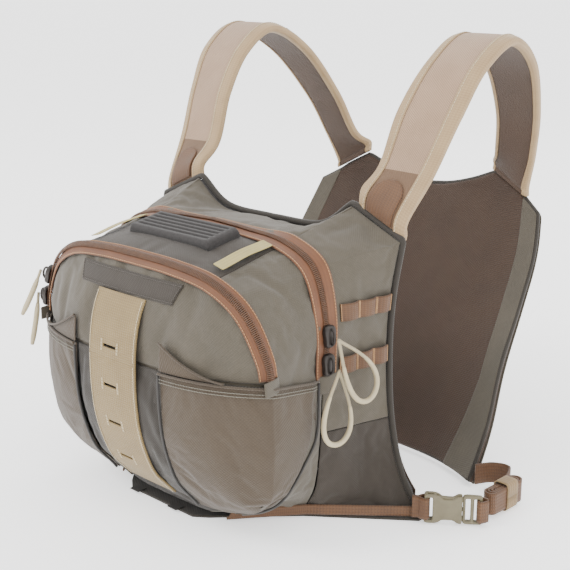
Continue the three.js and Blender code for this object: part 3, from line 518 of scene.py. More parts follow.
def front_between(start, end):
    def surface(u, v):
        edge = front_edge(start + (end - start) * v)
        room = 1 - 3.0 / edge[..., 0]
        return on_front(edge[..., 0] * room * (2 * u - 1), edge[..., 2])
    return surface


FORWARD = (0, -1, 0)
flap_folds = [
    ((-92, -90, 156), (-84, -84, 216), -3.2, 7), ((-112, -80, 165), (-104, -76, 205), -2.0, 6),
    ((70, -98, 205), (112, -80, 168), -2.8, 7), ((92, -90, 160), (128, -72, 172), -2.2, 6),
    ((48, -100, 158), (60, -96, 200), -2.0, 7), ((-60, -100, 160), (-48, -96, 205), 1.4, 9),
]
sewn_panel("front_lower_cloth", front_between(0.05, 2.98), 50, 40, DEEP, "pack", "taupe_cloth",
           ["front_panel"], lift=FRONT_LIFT, outside=FORWARD, swell=0.5)
sewn_panel("front_flap_cloth", front_between(3.02, TOP - 1.1), 96, 40, SAGE, "flap", "sage_cloth",
           ["front_flap"], lift=FRONT_LIFT, outside=FORWARD, folds=flap_folds, slack=0.016, cap=4.5)


def front_piece(bottom, top, half):
    """A piece laid on the front, between two heights and as wide as half(z) on each side."""
    def surface(u, v):
        z = bottom + (top - bottom) * v
        return on_front(half(z) * (2 * u - 1), z)
    return surface


def front_strip(bottom, top, half):
    return front_piece(bottom, top, lambda z: half + 0 * z)


sewn_panel("recess_cloth", front_strip(20, 151.4, 57),
           40, 40, DEEP, "pack", "dark_cloth", ["recess_panel"], lift=FRONT_LIFT + 1.4, outside=FORWARD,
           slack=0.02, folds=[((-44, -98, 140), (-48, -80, 40), 2.4, 3),
                              ((45, -98, 140), (42, -84, 40), 2.2, 3),
                              ((36, -98, 120), (50, -90, 70), -2.2, 4)])

# ------------------------------------------------------------------ stretch pockets
# Stretch cloth over the lower front, from the recess round to the side. The free top edge peaks at
# the inner corner and dips towards the side; it is turned over and stitched.
POCKET_INNER = 57.0


POCKET_CORNER = 0.7
side_seam = profile([0.04, 0.16, 0.34, 0.58, 0.80, 0.86, 0.87, 0.87, 0.87])


def pocket_shape(u, v):
    """Across the front from the recess to the corner, then round it to the seam on the side."""
    on_side = np.clip((u - POCKET_CORNER) / (1 - POCKET_CORNER), 0, 1)
    z = 17 + (151.2 - 17) * v
    t = np.interp(z, station_height, station_grid)
    edge = front_edge(t)
    w = np.clip(u / POCKET_CORNER, 0, 1)
    front = on_front(POCKET_INNER + (edge[..., 0] - 1.5 - POCKET_INNER) * w, z)
    reach = (side_seam(v) * on_side)[..., None]
    wrap = front_edge(t) * (1 - reach) + main_edge(t) * reach
    wrap[..., 2] = wrap[..., 2] - 7 * on_side * v
    turn = np.clip((u - POCKET_CORNER + 0.05) / 0.1, 0, 1)
    turn = turn * turn * (3 - 2 * turn)
    P = np.where((u <= POCKET_CORNER)[..., None], front, wrap)
    fullness = np.sin(np.pi * np.clip(v, 0, 1)) ** 0.6 * np.sin(np.pi * w) ** 0.5
    P[..., 1] -= (2.2 + 2.6 * fullness) * (1 - turn)
    P[..., 0] += 3.0 * turn * np.clip((1 - u) / 0.05, 0.3, 1)
    return P


for side, hand in ((1, "right"), (-1, "left")):
    sewn_panel(
        f"stretch_pocket_cloth_{hand}", pocket_shape, 80, 70, TAUPE, "pack", "stretch_cloth",
        [f"stretch_pocket_{hand}"], lift=FRONT_LIFT + 1.6, side=side, outside=FORWARD, slack=0.012,
        height=0.9, cap=3.5, folds=[
            ((100, -92, 30), (138, -72, 52), -3.2, 5), ((86, -95, 26), (112, -85, 60), 2.0, 7),
            ((70, -100, 140), (120, -86, 128), -1.6, 8), ((62, -100, 60), (96, -96, 36), -1.8, 6),
        ])

# ------------------------------------------------------------------ zips
# Woven copper tape sewn along both zips, with a dark nylon coil down its middle. The front zip is
# two tapes that part with the flap; the main zip is drawn as one, closed.
def ribbed_webbing(name, dark, light, rib=1.5, depth=0.35, roughness=0.6, sheen=0.1, wale=3.2):
    """Flat woven webbing: ribs across it in slight chevrons, and darker threads along it."""
    material, tree, surface = new_material(name, roughness, sheen)
    u, v = cloth_place(tree)
    zigzag = maths(tree, "ABSOLUTE", maths(tree, "SINE", maths(tree, "MULTIPLY", u, math.pi / wale)))
    along = maths(tree, "ADD", v, maths(tree, "MULTIPLY", zigzag, 0.6))
    rib_wave = maths(tree, "SINE", maths(tree, "MULTIPLY", along, 2 * math.pi / rib))
    height = maths(tree, "MULTIPLY_ADD", rib_wave, 0.35, maths(tree, "MULTIPLY", zigzag, 0.5))
    factor = maths(tree, "ADD", maths(tree, "MULTIPLY", height, 0.45),
                   maths(tree, "MULTIPLY", blotches(tree, 16), 0.6))
    tint(tree, surface, factor, dark, light)
    relief(tree, surface, height, depth)
    return material


COPPER_TAPE = ribbed_webbing("copper_zip_tape", (78, 42, 17), (116, 70, 34), rib=1.1, depth=0.15)
COIL = new_material("nylon_coil", 0.35)[0]
COIL.node_tree.nodes["Principled BSDF"].inputs["Base Color"].default_value = linear((78, 50, 30))
coil_tree = COIL.node_tree
tint(coil_tree, coil_tree.nodes["Principled BSDF"], blotches(coil_tree, 5), (60, 38, 24), (100, 66, 40))
ZIP_FOOT_STATION = 2.85
FRONT_ZIP_FOOT = 3.12


def seam_frame(line, towards, u, start):
    """Points on a seam line with the direction across the tape and the direction out of the pack."""
    u = np.asarray(u, float)
    P = mirrored_stations(line, u, start)
    along = mirrored_stations(line, np.clip(u + 1e-3, 0, 1), start)
    along = along - mirrored_stations(line, np.clip(u - 1e-3, 0, 1), start)
    along /= np.linalg.norm(along, axis=-1, keepdims=True)
    across = towards(u, start) - P
    across -= along * (across * along).sum(-1, keepdims=True)
    across /= np.linalg.norm(across, axis=-1, keepdims=True)
    out = np.cross(along, across)
    out *= np.sign((out * (P - INSIDE)).sum(-1, keepdims=True))
    return P, across, out, along


def seam_line(line):
    return lambda u, start: mirrored_stations(line, u, start)


def flap_side(u, start):
    """Points of the flap just inside the front zip, which its outer tape is laid towards."""
    edge = mirrored_stations(front_edge, u, start)
    inward = np.stack([-edge[..., 0], 0 * edge[..., 0], FLAP_FOLD_Z - 20 - edge[..., 2]], axis=-1)
    inward *= 9.5 / np.linalg.norm(inward, axis=-1, keepdims=True)
    return on_front(edge[..., 0] + inward[..., 0], edge[..., 2] + inward[..., 2])


def zip_tape(name, line, towards, start, first, last, body, nodes, steps=150):
    """Tape between two distances across the seam line, with a thin woven edge."""
    def surface(u, v):
        P, across, out, along = seam_frame(line, towards, v, start)
        w = first + (last - first) * u
        ridge = 0.25 * np.exp(-(((u - 0.86) / 0.05) ** 2))
        return P + across * w[..., None] + out * ridge[..., None]
    P, N, flip = on_grid(surface, 8, steps)
    piece = link_piece(name, mesh_of(name, P, grid_faces(steps, 8, flip), cloth_uv(P)))
    return finish_piece(piece, COPPER_TAPE, body, nodes, 1.2, 0)


zip_tape("front_zip_tape_inner", front_edge, seam_line(main_edge), FRONT_ZIP_FOOT, 1.9, 9.5, "pack",
         ["front_zip_inner"])
zip_tape("front_zip_tape_outer", front_edge, flap_side, FRONT_ZIP_FOOT, 1.9, 9.5, "flap", ["front_zip_outer"])
for half, towards in (("front", front_edge), ("rear", rear_edge)):
    zip_tape(f"main_zip_tape_{half}", main_edge, seam_line(towards), ZIP_FOOT_STATION, 0.4, 13, "pack",
             ["main_zip"])


def repeat_tree():
    """Geometry Nodes: one unit at every pitch along a line, turned to the line's own directions."""
    tree = bpy.data.node_groups.new("repeat_along_line", "GeometryNodeTree")
    faces = tree.interface.new_socket
    faces("Line", in_out="INPUT", socket_type="NodeSocketGeometry")
    faces("Unit", in_out="INPUT", socket_type="NodeSocketObject")
    faces("Pitch", in_out="INPUT", socket_type="NodeSocketFloat")
    faces("Finish", in_out="INPUT", socket_type="NodeSocketMaterial")
    faces("Pieces", in_out="OUTPUT", socket_type="NodeSocketGeometry")
    make = tree.nodes.new
    start, end = make("NodeGroupInput"), make("NodeGroupOutput")
    curve, spaced = make("GeometryNodeMeshToCurve"), make("GeometryNodeResampleCurve")
    spaced.mode = "LENGTH"
    unit, copies = make("GeometryNodeObjectInfo"), make("GeometryNodeInstanceOnPoints")
    turn = make("FunctionNodeAxesToRotation")
    turn.primary_axis, turn.secondary_axis = "Z", "X"
    real, finish = make("GeometryNodeRealizeInstances"), make("GeometryNodeSetMaterial")
    link = tree.links.new
    for word, socket in (("out", "Primary Axis"), ("across", "Secondary Axis")):
        stored = make("GeometryNodeInputNamedAttribute")
        stored.data_type = "FLOAT_VECTOR"
        stored.inputs["Name"].default_value = word
        link(stored.outputs["Attribute"], turn.inputs[socket])
    link(start.outputs["Line"], curve.inputs["Mesh"])
    link(curve.outputs["Curve"], spaced.inputs["Curve"])
    link(start.outputs["Pitch"], spaced.inputs["Length"])
    link(spaced.outputs["Curve"], copies.inputs["Points"])
    link(start.outputs["Unit"], unit.inputs["Object"])
    link(unit.outputs["Geometry"], copies.inputs["Instance"])
    link(turn.outputs["Rotation"], copies.inputs["Rotation"])
    link(copies.outputs["Instances"], real.inputs["Geometry"])
    link(real.outputs["Geometry"], finish.inputs["Geometry"])
    link(start.outputs["Finish"], finish.inputs["Material"])
    link(finish.outputs["Geometry"], end.inputs["Pieces"])
    return tree


REPEAT = repeat_tree()


def repeat_along(name, lines, unit, pitch, material, body):
    """unit repeated along lines, each a pair of points and outward directions, in millimetres."""
    points, edges, outs, acrosses = [], [], [], []
    for P, out in lines:
        P, out = np.asarray(P, float), np.asarray(out, float)
        along = np.gradient(P, axis=0)
        across = np.cross(along, out)
        base_index = len(points)
        points += list(P)
        outs += list(out)
        acrosses += list(across / np.linalg.norm(across, axis=1, keepdims=True))
        edges += [(base_index + i, base_index + i + 1) for i in range(len(P) - 1)]
    mesh = bpy.data.meshes.new(name)
    mesh.from_pydata((np.array(points) * MM).tolist(), edges, [])
    for word, values in (("out", outs), ("across", acrosses)):
        layer = mesh.attributes.new(word, "FLOAT_VECTOR", "POINT")
        layer.data.foreach_set("vector", np.array(values).ravel())
    line = link_piece(name, mesh)
    nodes = line.modifiers.new("repeat", "NODES")
    nodes.node_group = REPEAT
    given = {"Unit": unit, "Pitch": pitch * MM, "Finish": material}
    for item in REPEAT.interface.items_tree:
        if item.name in given:
            nodes[item.identifier] = given[item.name]
    made = bpy.data.meshes.new_from_object(line.evaluated_get(bpy.context.evaluated_depsgraph_get()))
    bpy.data.objects.remove(line)
    made.polygons.foreach_set("use_smooth", [True] * len(made.polygons))
    piece = link_piece(name, made)
    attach(piece, body)
    return piece


def rod_mesh(name, path, radius, sides=8, closed=False, uv_scale=1.0):
    """A round rod along a path, with closed ends or closed on itself."""
    P = np.asarray(path, float)
    count = len(P)
    along = np.roll(P, -1, axis=0) - np.roll(P, 1, axis=0)
    if not closed:
        along[0], along[-1] = P[1] - P[0], P[-1] - P[-2]
    along /= np.linalg.norm(along, axis=1, keepdims=True)
    side = np.cross(along[0], (0.31, 0.2, 0.93))
    points, width = [], []
    radii = np.broadcast_to(radius, count)
    for i in range(count):
        side = side - along[i] * (side @ along[i])
        side /= np.linalg.norm(side)
        up = np.cross(along[i], side)
        for k in range(sides):
            a = 2 * math.pi * k / sides
            points.append(P[i] + radii[i] * (math.cos(a) * side + math.sin(a) * up))
            width.append(k)
    length = np.concatenate([[0], np.cumsum(np.linalg.norm(np.diff(P, axis=0), axis=1))])
    uv = [(2 * math.pi * radii[i // sides] * width[i] / sides * MM, length[i // sides] * MM * uv_scale)
          for i in range(len(points))]
    rings = count if closed else count - 1
    faces = []
    for j in range(rings):
        a, b = j * sides, ((j + 1) % count) * sides
        for k in range(sides):
            m = (k + 1) % sides
            faces.append([a + k, a + m, b + m, b + k])
    if not closed:
        faces.append(list(range(sides))[::-1])
        faces.append([(count - 1) * sides + k for k in range(sides)])
    return mesh_of(name, points, faces, uv)


def rod_piece(name, path, radius, sides, material, body, nodes=(), closed=False, levels=0):
    """A cord, piping or binding along a path, as a finished piece."""
    piece = link_piece(name, rod_mesh(name, path, radius, sides, closed=closed))
    return finish_piece(piece, material, body, nodes, levels=levels)


def unit_piece(name, mesh):
    """A small piece that is only drawn repeated: it stays hidden itself."""
    piece = link_piece(name, mesh)
    piece.hide_render = True
    return piece


def coil_turn():
    """One turn of a zip's coil: a bent rod from tape to tape, over its own width."""
    bend = [(-2.9, -0.35, 0.2), (-2.5, -0.2, 1.5), (0, 0, 2.1), (2.5, 0.2, 1.5), (2.9, 0.35, 0.2)]
    return rod_mesh("coil_turn", bend, 0.62, 6)


coil_unit = unit_piece("coil_unit", coil_turn())
sweep = np.linspace(0.004, 0.996, 220)
for name, line, towards, start, shift, body in (
    ("front_zip_coil", front_edge, seam_line(main_edge), FRONT_ZIP_FOOT, 0.0, "pack"),
    ("main_zip_coil", main_edge, seam_line(rear_edge), ZIP_FOOT_STATION, 0.0, "pack"),
):
    P, across, out, along = seam_frame(line, towards, sweep, start)
    if name == "main_zip_coil":
        out = out + seam_frame(line, seam_line(front_edge), sweep, start)[2]
    else:
        out = out + seam_frame(line, flap_side, sweep, start)[2]
    out /= np.linalg.norm(out, axis=1, keepdims=True)
    repeat_along(name, [(P - 0.4 * out, out)], coil_unit, 1.55, COIL, body)
stitch_unit = unit_piece("stitch_unit", rod_mesh(
    "stitch", [(0, -1.1, -0.25), (0, -0.7, 0.2), (0, 0.7, 0.2), (0, 1.1, -0.25)], 0.33, 5))


def thread(name, dark, light):
    material, tree, surface = new_material(name, 0.6, 0.2)
    tint(tree, surface, blotches(tree, 3), dark, light)
    return material


SAND_THREAD = thread("sand_thread", (176, 160, 128), (205, 190, 160))
DARK_THREAD = thread("dark_thread", (48, 42, 36), (74, 66, 56))
SAGE_THREAD = thread("sage_thread", (96, 92, 80), (124, 120, 106))


def stitches(name, lines, material, body, pitch=3.2):
    return repeat_along(name, lines, stitch_unit, pitch, material, body)


# Rows of stitching along both zips' tapes, on the panels' side.
zip_rows = []
for line, towards, start, away in (
    (main_edge, seam_line(front_edge), ZIP_FOOT_STATION, 11.6),
    (main_edge, seam_line(rear_edge), ZIP_FOOT_STATION, 11.6),
    (front_edge, seam_line(main_edge), FRONT_ZIP_FOOT, 8.2),
):
    P, across, out, along = seam_frame(line, towards, sweep, start)
    zip_rows.append((P + across * away + out * 0.1, out))
COPPER_THREAD = thread("copper_thread", (150, 108, 66), (190, 146, 98))
stitches("zip_stitching", zip_rows, COPPER_THREAD, "pack", 2.8)
P, across, out, along = seam_frame(front_edge, flap_side, sweep, FRONT_ZIP_FOOT)
stitches("flap_zip_stitching", [(P + across * 8.2 + out * 0.1, out)], COPPER_THREAD, "flap",
         2.8)

# ------------------------------------------------------------------ zip sliders and pulls
# Dark die-cast sliders straddle the coil. The main zip's pulls are loops of cream cord with a
# smooth sleeve; the front zip's are single cords in a straight sleeve.
SLIDER_METAL, slider_tree, slider_surface = new_material("dark_slider_metal", 0.38, metal=0.6)
tint(slider_tree, slider_surface, blotches(slider_tree, 6), (36, 33, 32), (66, 60, 56))
relief(slider_tree, slider_surface, blotches(slider_tree, 1.6), 0.08)


BAIL_RADIUS = 1.25


def slider_mesh(name, frame_of):
    """A slider's body with a waist and a rounded back, and its bail, set on a station of a zip."""
    P, across, out, along = frame_of
    plan = []
    for k in range(28):
        a = 2 * math.pi * k / 28
        x = 6.4 * math.copysign(abs(math.cos(a)) ** 0.6, math.cos(a))
        y = 10.2 * math.copysign(abs(math.sin(a)) ** 0.7, math.sin(a))
        plan.append((x * (1 - 0.16 * math.exp(-((y + 1) / 3.5) ** 2)) * (1 if y > -3 else 0.82), y))
    points, faces = [], []
    for height, inset in ((1.6, 1.0), (1.6, 0.97), (4.4, 1.0), (5.8, 0.9), (6.3, 0.72), (6.4, 0.1)):
        points += [(x * inset, y * inset, height) for x, y in plan]
    for j in range(5):
        for k in range(28):
            m = (k + 1) % 28
            faces.append([j * 28 + k, j * 28 + m, (j + 1) * 28 + m, (j + 1) * 28 + k])
    faces.append(list(range(5 * 28, 6 * 28)))
    faces.append(list(range(28))[::-1])
    bend = [(0, -7, 5.6), (0, -6.2, 8.4), (0, -3, 9.8), (0, 3, 9.8), (0, 6.2, 8.4), (0, 7, 5.6)]
    bail = rod_mesh("bail", bend, BAIL_RADIUS, 8)
    count = len(points)
    local = [tuple(v.co / MM) for v in bail.vertices]
    faces += [[count + i for i in face.vertices] for face in bail.polygons]
    local = np.array(points + local)
    world = P + local[:, :1] * across + local[:, 1:2] * along + local[:, 2:] * out
    if np.dot(np.cross(across, along), out) < 0:
        faces = [face[::-1] for face in faces]
    return mesh_of(name, world, faces, smooth=True)


def main_zip_station(t):
    u = (t - ZIP_FOOT_STATION) / (2 * TOP - 2 * ZIP_FOOT_STATION)
    P, across, out, along = seam_frame(main_edge, seam_line(rear_edge), [u], ZIP_FOOT_STATION)
    other = seam_frame(main_edge, seam_line(front_edge), [u], ZIP_FOOT_STATION)[2]
    return P[0], across[0], (out[0] + other[0]) / np.linalg.norm(out[0] + other[0]), along[0]


def front_zip_station(t):
    """A station of the front zip on the left-hand side."""
    u = (t - ZIP_FOOT_STATION) / (2 * TOP - 2 * ZIP_FOOT_STATION)
    P, across, out, along = seam_frame(front_edge, seam_line(main_edge), [1 - u], ZIP_FOOT_STATION)
    other = seam_frame(front_edge, flap_side, [1 - u], ZIP_FOOT_STATION)[2]
    out = out[0] + other[0]
    out /= np.linalg.norm(out)
    across = across[0] - out * (across[0] @ out)
    return P[0], across / np.linalg.norm(across), out, -along[0]


zip_stations = {
    "main_slider_upper": main_zip_station(3.7), "main_slider_lower": main_zip_station(3.11),
    "front_slider_upper": front_zip_station(4.36), "front_slider_lower": front_zip_station(3.52),
}
for node, station in zip_stations.items():
    piece = link_piece(node + "_cast", slider_mesh(node + "_cast", station))
    finish_piece(piece, SLIDER_METAL, node, [node], levels=1)

CORD, cord_tree, cord_surface = new_material("cream_cord", 0.55, 0.1)
cord_u, cord_v = cloth_place(cord_tree)
strands = [
    maths(cord_tree, "SINE", maths(cord_tree, "MULTIPLY", maths(cord_tree, way, cord_u, cord_v), 3.4))
    for way in ("ADD", "SUBTRACT")
]
braid = maths(cord_tree, "MULTIPLY_ADD", maths(cord_tree, "MULTIPLY", *strands), 0.5, 0.5)
shade = maths(cord_tree, "MULTIPLY_ADD", braid, 0.5, 0.3)
tint(cord_tree, cord_surface, shade, (140, 126, 96), (186, 172, 140))
relief(cord_tree, cord_surface, braid, 0.2)
SLEEVE, sleeve_tree, sleeve_surface = new_material("cream_sleeve", 0.42, coat=0.15)
tint(sleeve_tree, sleeve_surface, blotches(sleeve_tree, 9), (160, 146, 114), (186, 172, 140))
relief(sleeve_tree, sleeve_surface, blotches(sleeve_tree, 2.2), 0.06)


def turned(P, lean, sway, side):
    """Points hanging from the origin in the YZ plane, swayed fore and aft and leaned off the pack."""
    a, b = math.radians(sway), math.radians(-side * lean)
    x, y, z = np.asarray(P, float).T
    y, z = y * math.cos(a) - z * math.sin(a), y * math.sin(a) + z * math.cos(a)
    return np.stack([x * math.cos(b) + z * math.sin(b), y, z * math.cos(b) - x * math.sin(b)], axis=-1)


BAIL = 12.8
CORD_RADIUS = 1.5


def sleeve_radii(full, taper, reach, count):
    """A sleeve's radius along its length, drawn in at both ends."""
    start = np.exp(-np.linspace(0, reach, count) ** 2)
    return full - taper * start - taper * start[::-1]


def drop_loop(angle):
    """A hanging loop of cord, narrow at the slider and round at its foot."""
    wide = 24.0 * np.sin(angle) * ((1 - np.cos(angle)) / 2) ** 0.7
    return np.stack([0 * angle, wide, -33 + 31.4 * np.cos(angle)], axis=-1)


for node, lean, sway, proud in (("main_pull_upper", 14, 28, 0.0), ("main_pull_lower", 5, -8, 3.2)):
    P, across, out, along = zip_stations[node.replace("pull", "slider")]
    top = P + out * (BAIL + proud)
    angle = np.linspace(0, 2 * math.pi, 64, endpoint=False)
    loop = drop_loop(angle)
    loop = top + turned(loop, lean, sway, 1)
    rod_piece(node + "_cord", loop, CORD_RADIUS, 10, CORD, node, [node], closed=True)
    cover = drop_loop(np.linspace(0.5 * math.pi, 1.62 * math.pi, 40))
    radii = sleeve_radii(2.4, 0.6, 9, 40)
    cover = top + turned(cover, lean, sway, 1)
    rod_piece(node + "_sleeve", cover, radii, 12, SLEEVE, node, levels=1)
for node, lean, sway in (("front_pull_upper", 27, -8), ("front_pull_lower", 8, -6)):
    P, across, out, along = zip_stations[node.replace("pull", "slider")]
    top = P + out * BAIL
    drop = np.linspace(0, 54, 28)
    bend = np.stack([0 * drop, 0.8 * np.sin(drop / 15), -drop], axis=-1)
    bend = top + turned(bend, lean, sway, -1)
    rod_piece(node + "_cord", bend[:10], 1.4, 8, CORD, node, [node])
    radii = sleeve_radii(2.75, 0.9, 8, 23)
    rod_piece(node + "_sleeve", bend[5:], radii, 12, SLEEVE, node, levels=1)

# ------------------------------------------------------------------ webbing ladder and patch
# A wide cream webbing down the middle of the front, slotted to hang tools from and bartacked
# between its slots. Its upper length rides on the flap under a dark sewn patch.
SAND = ribbed_webbing("sand_webbing", (108, 88, 50), (146, 124, 80), rib=2.0, depth=0.35, wale=2.6)
DAISY_TOP, DAISY_FOOT = 206.0, 24.0
SLOT_HEIGHTS = [161.0 - 35 * i for i in range(4)]


def daisy_lift(z):
    h = np.clip((z - DAISY_FOOT) / (DAISY_TOP - DAISY_FOOT), 0, 1)
    return 3.4 * np.sin(np.pi * h) ** 0.5


def ladder_length(name, bottom, top, body, node):
    """Webbing between two heights: full strips between the slots, and narrower ones beside them."""
    columns = [-31, -30, -24, -18, -11.5, -7, -3, 1, 5.5, 12, 18, 24, 30, 31]
    heights = [bottom]
    for z in sorted(SLOT_HEIGHTS):
        if bottom < z < top:
            heights += [z - 10, z - 3, z - 1.3, z + 1.3, z + 3, z + 10]
    heights += list(np.linspace(heights[-1], top, 2 + int((top - heights[-1]) / 12))[1:])
    heights = sorted(set(heights))
    x, z = np.meshgrid(columns, heights)
    P = on_front(x.astype(float), z.astype(float))
    N = normals_of(P)
    N *= np.sign((N @ np.array(FORWARD, float)))[..., None]
    P[..., 1] -= daisy_lift(z) + 0.3 * np.cos(x / 31 * math.pi / 2)
    P += N * (FRONT_LIFT + 4.2)
    flip = np.cross(P[0, 1] - P[0, 0], P[1, 0] - P[0, 0])[1] > 0
    faces = grid_faces(len(heights) - 1, len(columns) - 1, flip)
    keep = []
    for j in range(len(heights) - 1):
        for i in range(len(columns) - 1):
            middle = (heights[j] + heights[j + 1]) / 2
            slotted = any(abs(middle - s) < 1.3 for s in SLOT_HEIGHTS)
            if not (slotted and columns[i] >= -11.5 and columns[i + 1] <= 5.5):
                keep.append(faces[j * (len(columns) - 1) + i])
    uv = np.stack([x, z], axis=-1) * MM
    piece = link_piece(name, mesh_of(name, P, keep, uv))
    finish_piece(piece, SAND, body, [node], 1.7, 0)
    edge = piece.modifiers.new("edge", "BEVEL")
    edge.width, edge.segments, edge.limit_method = 0.35 * MM, 2, "ANGLE"


ladder_length("ladder_lower", DAISY_FOOT, 151.2, "pack", "daisy_chain_lower")
ladder_length("ladder_upper", 152.8, DAISY_TOP, "flap", "daisy_chain_upper")


def front_row(points, lift, count=60):
    """Stitching on the front through points of (x, z), with its outward directions."""
    path = outline([(x, 0, z) for x, z in points])(np.linspace(0, len(points) - 1, count))
    P = on_front(path[:, 0], path[:, 2])
    up = on_front(path[:, 0], path[:, 2] + 0.5) - P
    side = on_front(path[:, 0] + 0.5, path[:, 2]) - P
    N = np.cross(side, up)
    N *= np.sign(-N[:, 1:2])
    N /= np.linalg.norm(N, axis=1, keepdims=True)
    return P + N * lift, N


def on_ladder(row):
    P, N = row
    P = P.copy()
    P[:, 1] -= daisy_lift(P[:, 2])
    return P + N * (FRONT_LIFT + 4.45), N


lower_rows, upper_rows = [], []
for z in SLOT_HEIGHTS:
    target = upper_rows if z > FLAP_FOLD_Z else lower_rows
    for x in (-13.5, 7.5):
        for nudge in (0, 1.1):
            target.append(on_ladder(front_row([(x + nudge, z - 4), (x + nudge, z + 4)], 0, 8)))
for side in (-29.3, 29.3):
    lower_rows.append(on_ladder(front_row([(side, 26), (side, 60), (side, 149)], 0)))
    upper_rows.append(on_ladder(front_row([(side, 155), (side, 203)], 0)))
stitches("ladder_stitching_lower", lower_rows, SAND_THREAD, "pack", 2.6)
stitches("ladder_stitching_upper", upper_rows, SAND_THREAD, "flap", 2.6)


def patch_side(z):
    return 60 + 6 * (z - DAISY_TOP) / 18.0


sewn_panel("front_patch_cloth", front_piece(206.6, 224, patch_side),
           60, 12, BROWN, "flap", "dark_cloth", ["front_patch"], lift=FRONT_LIFT + 3.2, outside=FORWARD,
           slack=0.0, swell=0.3, height=0.25, size=20, thickness=1.6)
patch_rows = [front_row([(-64.5, 222), (0, 222), (64.5, 222)], FRONT_LIFT + 3.3),
              front_row([(-59.5, 208.4), (0, 208.4), (59.5, 208.4)], FRONT_LIFT + 3.3)]
for side in (-1, 1):
    patch_rows.append(front_row([(side * 59.0, 208.4), (side * 64.2, 222)], FRONT_LIFT + 3.3, 12))
stitches("patch_stitching", patch_rows, DARK_THREAD, "flap", 2.6)

# ------------------------------------------------------------------ deck: fly patch and pull tags
# A ribbed, bevelled block of charcoal foam leans with the deck between the zips; a pale woven tag
# lies on each side of it to hold the deck while a zip is pulled.
FOAM, foam_tree, foam_surface = new_material("charcoal_foam", 0.9, 0.1)
tint(foam_tree, foam_surface, blotches(foam_tree, 2.4), (36, 33, 32), (62, 59, 58))
relief(foam_tree, foam_surface, blotches(foam_tree, 0.9), 0.22)
LIME = ribbed_webbing("pale_tag", (140, 126, 72), (186, 170, 108), rib=1.2, depth=0.25)
ZIP_Y = 15.0
deck_lean = math.atan2(16, 89)


def deck_height(y):
    return 237 + 16 * (y + 74) / 89 + UNDER_TAPE


profile_rows, high = [], 9.0
for y in np.linspace(-19, 19, 77):
    groove = max((1 - ((y - g) / 1.7) ** 4 for g in (-12, -6, 0, 6, 12) if abs(y - g) < 1.7), default=0)
    edge = max(0.0, abs(y) - 16.2) / 2.8
    profile_rows.append((y, high - 2.2 * groove - 3.4 * edge**2, groove))
patch_columns = np.concatenate([[-52, -51.4, -50.2, -48.6], np.linspace(-46, 46, 47), [48.6, 50.2, 51.4, 52]])
P = np.zeros((len(profile_rows) + 2, len(patch_columns), 3))
for j, (y, z, groove) in enumerate([(-19, 0, 0)] + profile_rows + [(19, 0, 0)]):
    end = np.maximum(0, np.abs(patch_columns) - 48.4) / 3.6
    inside = 1 / (1 + np.exp((np.abs(patch_columns) - 45.5) * 2.4))
    top = z + 2.2 * groove * (1 - inside) - 3.4 * end**2
    P[j] = np.stack([patch_columns, 0 * patch_columns + y, np.maximum(top, 0)], axis=-1)
P[:, 0, 2] = P[:, -1, 2] = 0
lean_cos, lean_sin = math.cos(deck_lean), math.sin(deck_lean)
tilt = np.array([[1, 0, 0], [0, lean_cos, -lean_sin], [0, lean_sin, lean_cos]])
flat = P.copy()
P = P @ tilt.T + (0, -20, deck_height(-20) + 0.4)
fly_patch = link_piece("fly_patch_foam", mesh_of("fly_patch_foam", P, grid_faces(78, len(patch_columns) - 1),
                                                 flat[..., :2] * MM))
finish_piece(fly_patch, FOAM, "pack", ["fly_patch"], 0.8, 0)


def tag_surface(u, v):
    y = -56 + 58 * v
    sag = 1.2 * np.sin(np.pi * v) ** 2
    return np.stack([76 + 12 * u, y, deck_height(y) - 0.6 - 3.0 * u + 1.6 + sag], axis=-1)


for side, hand in ((1, "right"), (-1, "left")):
    sewn_panel(f"deck_tag_{hand}_webbing", tag_surface, 6, 24, LIME, "pack", "lime_tag", [f"deck_tag_{hand}"],
               lift=0, side=side, outside=(0, 0, 1), slack=0, swell=0, height=0.1, size=20, thickness=0.9)

# ------------------------------------------------------------------ gear loops on the sides
# Two rows of copper webbing on each side, bartacked at three places so that clips pass behind.
COPPER = ribbed_webbing("copper_webbing", (64, 38, 16), (104, 68, 34), rib=1.7, depth=0.25)
GEAR_STITCH = [0, 0.36, 0.7, 1]


def side_point(z, w):
    low, high = 0 * z + HEM, 0 * z + SHOULDER - 1
    for _ in range(26):
        t = (low + high) / 2
        here = main_edge(t)[..., 2] * (1 - w) + rear_edge(t)[..., 2] * w
        low, high = np.where(here < z, t, low), np.where(here < z, high, t)
    return main_edge(low) * (1 - w)[..., None] + rear_edge(low) * w[..., None]


def gear_row(height):
    def surface(u, v):
        P = side_point(height + (v - 0.5) * 15, 0.22 + 0.765 * u)
        k = np.clip(np.searchsorted(GEAR_STITCH, u, side="right") - 1, 0, 2)
        start, end = np.take(GEAR_STITCH, k), np.take(GEAR_STITCH, k + 1)
        P[..., 0] += 3.4 * np.sin(np.pi * np.clip((u - start) / (end - start), 0, 1)) ** 0.7
        return P
    return surface


